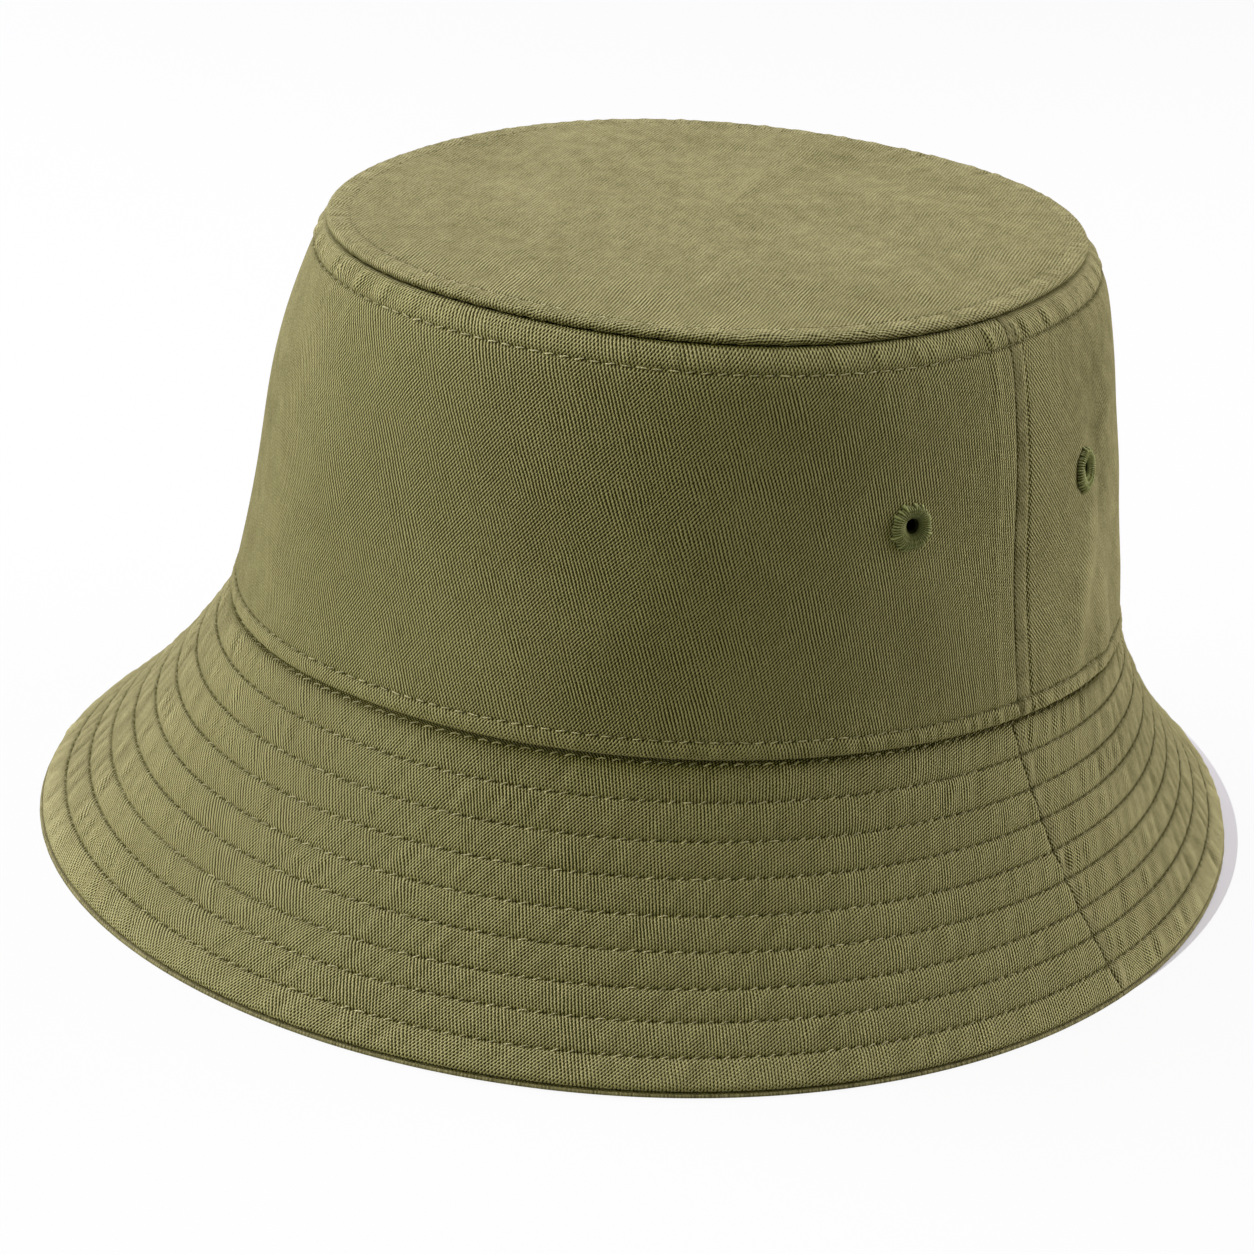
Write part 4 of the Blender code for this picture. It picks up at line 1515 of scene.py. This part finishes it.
def crown_tape():
    """Tape bent into the corner under the tip: inner part under the tip, then down the wall."""
    columns = np.linspace(-np.pi, np.pi, TIP_TAPE_COLUMNS, endpoint=False)
    insets = np.linspace(TAPE_REACH, 2 * TAPE_INSET, TIP_TAPE_ROWS)
    inset, turn = np.meshgrid(insets, columns, indexing="ij")
    dome = TIP_DOME * (1 - (1 - inset / TIP.half_width) ** 2)
    ripple = TAPE_RIPPLE * (puckers(turn, 0, 90, 61) - 1)
    under = tip(turn, inset, RIM_CLEAR + dome - TAPE_INSET + ripple)
    drops = np.linspace(TAPE_INSET, TAPE_REACH, TIP_TAPE_ROWS)
    drop, turn = np.meshgrid(drops, columns, indexing="ij")
    ripple = TAPE_RIPPLE * (puckers(turn, 0, 90, 62) - 1)
    down = wall(turn, CROWN - drop, -TAPE_INSET + ripple)
    points = np.concatenate([under, down])
    length = np.interp(np.append(columns, np.pi), ROUND, TIP_ARC)
    width = np.linspace(0, 2 * TAPE_REACH, len(points))
    cut = np.stack(np.broadcast_arrays(length[None], width[:, None]), axis=-1)
    return lay_cloth("tape_tip_seam", points, cut, TAPE, around=True)


def tape_turn(side, rise):
    """Angle of a side seam at a rise, on the left or the right."""
    return wall_seam(rise) if side == "left" else np.pi - wall_seam(rise)


def side_tape(side):
    """Strip down the inside of one side seam."""
    spreads = np.linspace(-SIDE_TAPE_SPREAD, SIDE_TAPE_SPREAD, SIDE_TAPE_COLUMNS)
    rises = np.linspace(CROWN - SIDE_TAPE_CLEAR, SIDE_TAPE_CLEAR, SIDE_TAPE_ROWS)
    rise, spread = np.meshgrid(rises, spreads, indexing="ij")
    turn = tape_turn(side, rise) + spread
    ripple = TAPE_RIPPLE * np.sin(rise / SIDE_TAPE_WAVE)
    points = wall(turn, rise, -SIDE_TAPE_INSET - TAPE_RIPPLE + ripple)
    cut = np.stack([np.interp(turn, ROUND, WALL_ARC), rise], axis=-1)
    return lay_cloth("tape_side_" + side, points, cut, TAPE)


place(crown_tape(), TAPE_FINISH, "seam_tape", "crown_seam_tape")
for side in ("left", "right"):
    place(side_tape(side), TAPE_FINISH, "seam_tape", "side_seam_tape_" + side)

# %% [markdown]
# ## Stitches
# Each stitch is a short bent capsule of thread. On the crown it lies flat in the row and dives at both
# ends. On the brim it is pulled tight: it comes up in a small slanted hook and then sinks out of sight
# between the layers. All stitches of a row are one array, placed by the walked length of the row.

# %% Stitch capsules
Sewn = namedtuple("Sewn", "length radius rise crest spread sink slant")
FLAT_STITCH = Sewn(0.0025, 0.00016, 0.00022, 0.0, 0.85, 0.00030, 0.05)
SUNK_STITCH = Sewn(0.0024, 0.00015, 0.00004, 0.0, 0.75, 0.00034, 0.05)
HOOK_STITCH = Sewn(0.0027, 0.00017, 0.00034, -0.22, 0.78, 0.00024, 0.20)
STITCH_STRAY = 0.07
THREAD_FRESH = -1.05
THREAD_FRESH_HALF = 0.35
CAPSULE_RINGS = 6
CAPSULE_SIDES = 6
CAPSULE_TAPER = 0.35
STITCH_SIZES = (0.85, 1.1)
THREAD_TONES = (-0.2, 0.8)
THREAD_WORN = 1.5


def unit(vectors):
    """Vectors brought to length 1."""
    return vectors / np.linalg.norm(vectors, axis=-1, keepdims=True)


def row_frames(points, normals):
    """Middle, direction and normal of each stitch, at equal steps of the walked length."""
    walked = run_length(points)
    count = int(round(walked[-1] / STITCH))
    middles = (np.arange(count) + 0.5) * walked[-1] / count

    def at(distance, values):
        """Values along the row at a walked distance."""
        return np.stack([np.interp(distance, walked, values[:, axis]) for axis in range(3)], axis=-1)

    ahead = at(middles + STITCH / 8, points) - at(middles - STITCH / 8, points)
    return at(middles, points), unit(ahead), unit(at(middles, normals))


def capsule_quads():
    """Faces of one capsule: its side between rings of points, and two quads over each end."""
    index = np.arange(CAPSULE_RINGS * CAPSULE_SIDES).reshape(CAPSULE_RINGS, CAPSULE_SIDES)
    side = grid_quads(closed(index), flip=True)
    near = np.array([[0, 1, 2, 3], [0, 3, 4, 5]])
    return np.concatenate([side, near, index[-1, 0] + near[:, ::-1]])


def sew(name, rows, kind, seed):
    """Mesh of capsules: rings along each stitch, highest at its crest and sunk away from it."""
    middle, along, normal = (np.concatenate(values) for values in zip(*rows))
    chance = np.random.default_rng(seed)
    count = len(middle)
    side = np.cross(normal, along)
    step = np.linspace(-1, 1, CAPSULE_RINGS)
    angle = np.linspace(0, 2 * np.pi, CAPSULE_SIDES, endpoint=False)
    shown = np.exp(-(((step - kind.crest) / kind.spread) ** 2))
    height = (kind.rise + kind.sink) * shown - kind.sink
    radius = kind.radius * (1 - CAPSULE_TAPER * step**6)
    size = chance.uniform(*STITCH_SIZES, count)
    slant = kind.slant + chance.normal(0, STITCH_STRAY, count)
    forward = size[:, None] * step * kind.length / 2
    sway = slant[:, None] * kind.length / 2 * np.sin(np.pi * np.clip(step - kind.crest, -0.5, 0.5))
    sideways = sway[..., None] + radius[:, None] * np.cos(angle)
    raised = height[:, None] + radius[:, None] * np.sin(angle)
    points = middle[:, None, None] + forward[..., None, None] * along[:, None, None]
    points = points + sideways[..., None] * side[:, None, None]
    points = points + raised[None, ..., None] * normal[:, None, None]
    quads = capsule_quads()
    block = CAPSULE_RINGS * CAPSULE_SIDES
    faces = (np.arange(count)[:, None, None] * block + quads).reshape(-1, 4)
    twist = np.stack(np.broadcast_arrays(step[:, None] / 2, angle / TURN), axis=-1).reshape(-1, 2)
    rubbed = worn_smooth(np.arctan2(middle[:, 1], middle[:, 0]), THREAD_FRESH, THREAD_FRESH_HALF)
    wear_and_shading = np.repeat(chance.uniform(*THREAD_TONES, count) - THREAD_WORN * rubbed, block)
    uv = np.tile(twist, (count, 1))[faces]
    return make_mesh(name, points.reshape(-1, 3), faces, uv, {"wear_and_shading": wear_and_shading})


print("faces a stitch:", len(capsule_quads()))

# %% [markdown]
# A row needs the normals of the cloth it lies on. They come from two short steps over the surface,
# one round the hat and one across the row, so any surface given as a function will do.

# %% Sewing the rows
ROW_POINTS = 4321
NUDGE = 2e-4


def on_surface(surface, place_value, flip=1.0):
    """Stitch frames along a line of constant second parameter on a surface of two parameters."""
    turn = np.linspace(0, 2 * np.pi, ROW_POINTS)
    value = np.full_like(turn, place_value)
    points = surface(turn, value)
    beside = surface(turn, value + NUDGE) - surface(turn, value - NUDGE)
    ahead = np.gradient(points, axis=0)
    return row_frames(points, flip * unit(np.cross(ahead, beside)))


def wall_surface(turn, rise):
    """Outer face of the wall's cloth."""
    return wall(turn, rise, wall_height(turn, rise).proud)


def tip_surface(turn, inset):
    """Upper face of the tip's cloth."""
    return tip(turn, inset, tip_height(turn, inset).lift)


def brim_surface(turn, share):
    """Upper face of the brim, with no groove deeper than a row's own."""
    lift = np.maximum(brim_height(turn, share).lift, -CHANNEL_GROOVE)
    return brim(turn, share, lift)


def under_surface(turn, share):
    """Lower face of the brim: the upper one's puffs turned down."""
    lift = np.maximum(brim_height(turn, share).lift, -CHANNEL_GROOVE)
    return brim(turn, share, -UNDER_DEPTH - UNDER_PUFF * lift)


crown_rows = [on_surface(wall_surface, rise) for rise in (BASE_ROW, CROWN - TOP_ROW)]
tip_rows = [on_surface(tip_surface, TIP_ROW)]
brim_rows = [on_surface(brim_surface, share, flip=-1.0) for share in ROW_SHARES[:-1]]
under_rows = [on_surface(under_surface, share) for share in ROW_SHARES[:-1]]
place(sew("crown_stitches", crown_rows, FLAT_STITCH, 1), SEAM_THREAD, "sewing_thread")
place(sew("tip_stitches", tip_rows, SUNK_STITCH, 5), SEAM_THREAD, "sewing_thread")
place(sew("brim_stitches", brim_rows, HOOK_STITCH, 2), SEAM_THREAD, "sewing_thread")
place(sew("under_stitches", under_rows, HOOK_STITCH, 3), SEAM_THREAD, "sewing_thread")

# %% [markdown]
# The band and the tapes are sewn from inside, so their stitches look inwards. A side tape has a row near
# each of its edges, and these rows run up the wall instead of round it.

# %% Sewing the band and the tapes
BAND_ROW = 0.0025
TAPE_MARGIN = 0.0015
TAPE_MARGIN_TURN = 0.015


def inner_surface(inset):
    """Smooth surface inside the wall, as a function of the angle and the rise."""
    return lambda turn, rise: wall(turn, rise, np.full_like(turn, -inset))


inside_rows = [on_surface(inner_surface(BAND_INSET), BAND_ROW, flip=-1.0)]
inside_rows.append(on_surface(inner_surface(TAPE_INSET), CROWN - TAPE_REACH + TAPE_MARGIN, flip=-1.0))
for side in ("left", "right"):
    for way in (-1, 1):
        rise = np.linspace(SIDE_TAPE_CLEAR, CROWN - SIDE_TAPE_CLEAR, 241)
        turn = tape_turn(side, rise) + way * (SIDE_TAPE_SPREAD - TAPE_MARGIN_TURN)
        line = wall(turn, rise, np.full_like(rise, -SIDE_TAPE_INSET))
        inward = -level_normal(lambda angle: wall_line(angle, rise / CROWN), turn)
        inside_rows.append(row_frames(line, inward))
place(sew("inside_stitches", inside_rows, FLAT_STITCH, 4), SEAM_THREAD, "sewing_thread")

# %% [markdown]
# ## Eyelets
# Four vent eyelets are sewn with close radial stitches in a darker green thread. One is a ring with a
# closed section: a thick lip outside, a waist through the cloth and a thinner lip inside. Each thread
# is a ridge across the lip, and threads differ a little in length, so the rim is ragged.

# %% Eyelets
EYELET_BORE = 0.0013
EYELET_WAIST = 0.0027
EYELET_RADIUS = 0.0049
EYELET_THREADS = 46
THREAD_COLUMNS = 6
THREAD_RIDGE = 0.00042
RAGGED = 0.00026
BORE_DRIFT = 0.0004
SIDE_STEP = 0.01
RISE_STEP = 0.001
THREAD_HEIGHTS = (0.6, 1.3)
TWIST_A_METRE = 300
BORE_SHADE = 1.5
BORE_SHADE_WIDTH = 0.0002
FRAY_MOST = 1.5
FRAY_WEAR = 0.5
# radius, height above mid cloth, share of the ridge, share of the ragged length
EYELET_SECTION = np.array([
    (EYELET_BORE, -0.0003, 0.2, 0.0),
    (EYELET_BORE, 0.0001, 0.4, 0.0),
    (EYELET_BORE + 0.0004, 0.0005, 0.7, 0.0),
    (EYELET_BORE + 0.0011, 0.0010, 0.9, 0.0),
    (EYELET_BORE + 0.0018, 0.00135, 1.0, 0.0),
    (EYELET_RADIUS - 0.0010, 0.00145, 1.0, 0.3),
    (EYELET_RADIUS - 0.0004, 0.0011, 1.0, 0.7),
    (EYELET_RADIUS, 0.00050, 0.8, 1.0),
    (EYELET_RADIUS - 0.0001, 0.00036, 0.0, 1.0),
    (EYELET_WAIST, 0.00036, 0.0, 0.0),
    (EYELET_WAIST, -0.00040, 0.0, 0.0),
    (EYELET_RADIUS - 0.0008, -0.00040, 0.0, 0.6),
    (EYELET_RADIUS - 0.0010, -0.0008, 0.8, 0.5),
    (EYELET_BORE + 0.0012, -0.0011, 1.0, 0.0),
    (EYELET_BORE + 0.0003, -0.0009, 0.8, 0.0),
])


def eyelet(name, turn, seed):
    """Ring round the wall's normal: section carried round, raised on each thread, ragged at its rim."""
    here = np.array([turn])
    rise = np.array([EYELET_RISE])
    side = unit(wall_surface(here + SIDE_STEP, rise) - wall_surface(here - SIDE_STEP, rise))[0]
    upright = unit(wall_surface(here, rise + RISE_STEP) - wall_surface(here, rise - RISE_STEP))[0]
    normal = np.cross(side, upright)
    middle = wall_surface(here, rise)[0] - normal * CLOTH / 2
    chance = np.random.default_rng(seed)
    count = EYELET_THREADS * THREAD_COLUMNS
    thread = np.arange(count) // THREAD_COLUMNS
    across_thread = (np.arange(count) % THREAD_COLUMNS + 0.5) / THREAD_COLUMNS
    crest = -0.5 * np.cos(2 * np.pi * across_thread)
    high = chance.uniform(*THREAD_HEIGHTS, EYELET_THREADS)[thread]
    far = chance.normal(0, 1, EYELET_THREADS)[thread] * RAGGED
    angle = 2 * np.pi * (np.arange(count) + 0.5) / count
    radius, height, ridge, ragged = (column[:, None] for column in EYELET_SECTION.T)
    reach = radius + ragged * far
    raised = height + np.sign(height) * ridge * THREAD_RIDGE * crest * high
    aside = BORE_DRIFT * np.clip((EYELET_RADIUS - radius) / (EYELET_RADIUS - EYELET_BORE), 0, 1)
    points = middle + (reach * np.cos(angle) + aside)[..., None] * side
    points = points + (reach * np.sin(angle) + aside)[..., None] * upright
    points = points + raised[..., None] * normal
    index = np.arange(points.shape[0] * count).reshape(-1, count)
    quads = grid_quads(closed(closed(index.T).T), flip=True)
    twist = np.stack(np.broadcast_arrays(radius * TWIST_A_METRE, across_thread[None]), axis=-1)
    uv = twist.reshape(-1, 2)[quads]
    # thread crests are painted lighter and the gaps between threads darker, as painted light and shade, and
    # the lip at the bore gets painted shade
    deep = BORE_SHADE * (radius < EYELET_BORE + BORE_SHADE_WIDTH)
    frayed = np.clip(far / RAGGED, 0, FRAY_MOST) * ragged
    wear_and_shading = np.broadcast_to(crest * high - deep + FRAY_WEAR * frayed, points.shape[:2]).ravel()
    return make_mesh(name, points.reshape(-1, 3), quads, uv, {"wear_and_shading": wear_and_shading})


for seed, (name, turn) in enumerate(EYELETS.items()):
    place(eyelet("vent_" + name, turn, 70 + seed), EYELET_THREAD, "sewing_thread", "eyelet_" + name)

# %% [markdown]
# ## Stage and light
# The hat stands on a white floor under soft boxes at its left, its right and above, and two weaker ones
# nearer the front. The floor and the sky look white to the camera, but the floor lights the hat only as
# much as grey card would, and the sky hardly at all. The floor keeps the hat's shadow. Under the hat it
# has no glow, so the eyelets show a dark inside.

# %% Floor and sky
FLOOR_SIZE = 12.0
FLOOR_WHITE = (0.86, 0.86, 0.86, 1.0)
FLOOR_GREY = (0.30, 0.30, 0.30, 1.0)
FLOOR_GLOW = 0.90
UNDER_HAT = 0.98
SKY_LIGHT = 0.01


def seen(finish):
    """1 for rays that come from the camera, a reflection or a glass, and 0 for light that bounces."""
    outputs = finish.node("ShaderNodeLightPath").socket.node.outputs
    paths = ("Is Camera Ray", "Is Glossy Ray", "Is Transmission Ray")
    looks = [Wire(finish, outputs[path]) for path in paths]
    return looks[0].math("MAXIMUM", looks[1]).math("MAXIMUM", looks[2])


def white_floor():
    """One large square that glows for the camera outside the brim's ellipse."""
    points = FLOOR_SIZE / 2 * np.array([[-1, -1, 0], [1, -1, 0], [1, 1, 0], [-1, 1, 0]])
    quads = np.array([[0, 1, 2, 3]])
    floor = make_mesh("floor", points, quads, points[quads][..., :2], {})
    finish = Finish("floor_white", 1.0)
    shown = seen(finish)
    _, x, y = finish.cut()
    out_x, out_y = x * (1 / EDGE.half_width), y * (1 / EDGE.half_length)
    outside = (out_x * out_x + out_y * out_y).math("GREATER_THAN", UNDER_HAT)
    finish.colour(finish.blend(shown, FLOOR_GREY, FLOOR_WHITE))
    finish.shader.inputs["Specular IOR Level"].default_value = 0.0
    glow = finish.node("ShaderNodeEmission", {}, {"Color": (1, 1, 1, 1), "Strength": 1.0})
    paper = Wire(finish, finish.shader.outputs[0])
    mixed = finish.node("ShaderNodeMixShader", {}, {0: shown * outside * FLOOR_GLOW, 1: paper, 2: glow})
    finish.fill(finish.nodes["Material Output"].inputs["Surface"], mixed)
    floor.data.materials.append(finish.material)


class Sky(Finish):
    """The world's nodes, filled by the same methods as a material's."""

    def __init__(self):
        """New world with a node tree."""
        self.world = bpy.data.worlds.new("sky")
        self.world.use_nodes = True
        self.nodes = self.world.node_tree.nodes
        self.links = self.world.node_tree.links


def white_sky():
    """White for the camera, and almost no light on the hat."""
    sky = Sky()
    white = {"Color": (1, 1, 1, 1)}
    lit = sky.node("ShaderNodeBackground", {}, white | {"Strength": SKY_LIGHT})
    shown = sky.node("ShaderNodeBackground", {}, white | {"Strength": 1.0})
    mixed = sky.node("ShaderNodeMixShader", {}, {0: seen(sky), 1: lit, 2: shown})
    sky.fill(sky.nodes["World Output"].inputs["Surface"], mixed)
    bpy.context.scene.world = sky.world


white_floor()
white_sky()
print("floor:", FLOOR_SIZE, "m square")

# %% [markdown]
# The strength and tint of each soft box were chosen so that the cloth is about as bright on every side
# of the hat as in the picture. Each box looks at the middle of the hat from the same distance.

# %% Soft boxes
HAT_MIDDLE = np.array([0.0, 0.0, 0.07])
LAMP_DISTANCE = 1.3
UP_NUDGE = 0.01
# name, way toward it (right, back and up of the picture), side of the box, power, colour
LAMPS = (
    ("left_box", (-1.0, 0.25, 0.55), 1.0, 11.8, (1.0, 0.96, 1.20)),
    ("left_front_box", (-1.0, -0.6, 0.35), 1.0, 8.0, (1.0, 1.0, 0.68)),
    ("right_box", (1.0, 0.35, 0.36), 0.9, 12.8, (1.0, 0.95, 1.04)),
    ("right_front_box", (1.0, -0.5, 0.35), 1.0, 2.2, (1.0, 1.0, 0.40)),
    ("top_box", (-0.1, 0.15, 1.0), 1.1, 9.8, (1.0, 0.97, 1.12)),
)


def soft_box(name, toward, size, power, colour):
    """Square area lamp that looks at the hat from a way given in the picture's directions."""
    way = unit(toward[0] * level - toward[1] * toward_eye + toward[2] * UP)
    lamp = bpy.data.lights.new(name, "AREA")
    lamp.shape = "SQUARE"
    lamp.size = size
    lamp.energy = power
    lamp.color = colour
    box = bpy.data.objects.new(name, lamp)
    bpy.context.scene.collection.objects.link(box)
    axis_x = unit(np.cross(UP + UP_NUDGE * level, way))
    frame_axes = np.stack([axis_x, np.cross(way, axis_x), way], axis=1)
    box.matrix_world = Matrix.Translation(HAT_MIDDLE + LAMP_DISTANCE * way) @ Matrix(frame_axes).to_4x4()


for lamp_values in LAMPS:
    soft_box(*lamp_values)

# %% [markdown] ## Cloth sizes Every sewn piece began as a flat cut, and the size of each cut is
# measured from its UV map.

CUT_GRAINS = {"crown_front": PANEL_GRAIN, "crown_rear": PANEL_GRAIN, "crown_top": TIP_GRAIN}
for half, grain in BRIM_GRAIN.items():
    CUT_GRAINS |= {layer + half: grain for layer in ("brim_upper_", "brim_lower_", "brim_stiffener_")}
CUT_GRAINS |= dict.fromkeys(("sweatband_strip", "tape_tip_seam", "tape_side_left", "tape_side_right"), 0.0)


def declare(name, grain):
    """Measure a flat cut from the piece's UV map, turned so that its grain is square; the size is not kept.
    """
    piece = bpy.data.objects[name]
    cut = np.empty(len(piece.data.loops) * 2)
    piece.data.uv_layers.active.data.foreach_get("uv", cut)
    width, length = (float(side) for side in np.ptp(turned(cut[::2], cut[1::2], -grain), axis=0))


for name, grain in CUT_GRAINS.items():
    declare(name, grain)

# %% [markdown] ## Finish The view settings are plain, so colours show as they are written.

# %% Finish
scene = bpy.context.scene
scene.view_settings.view_transform = "Standard"
bpy.context.view_layer.update()
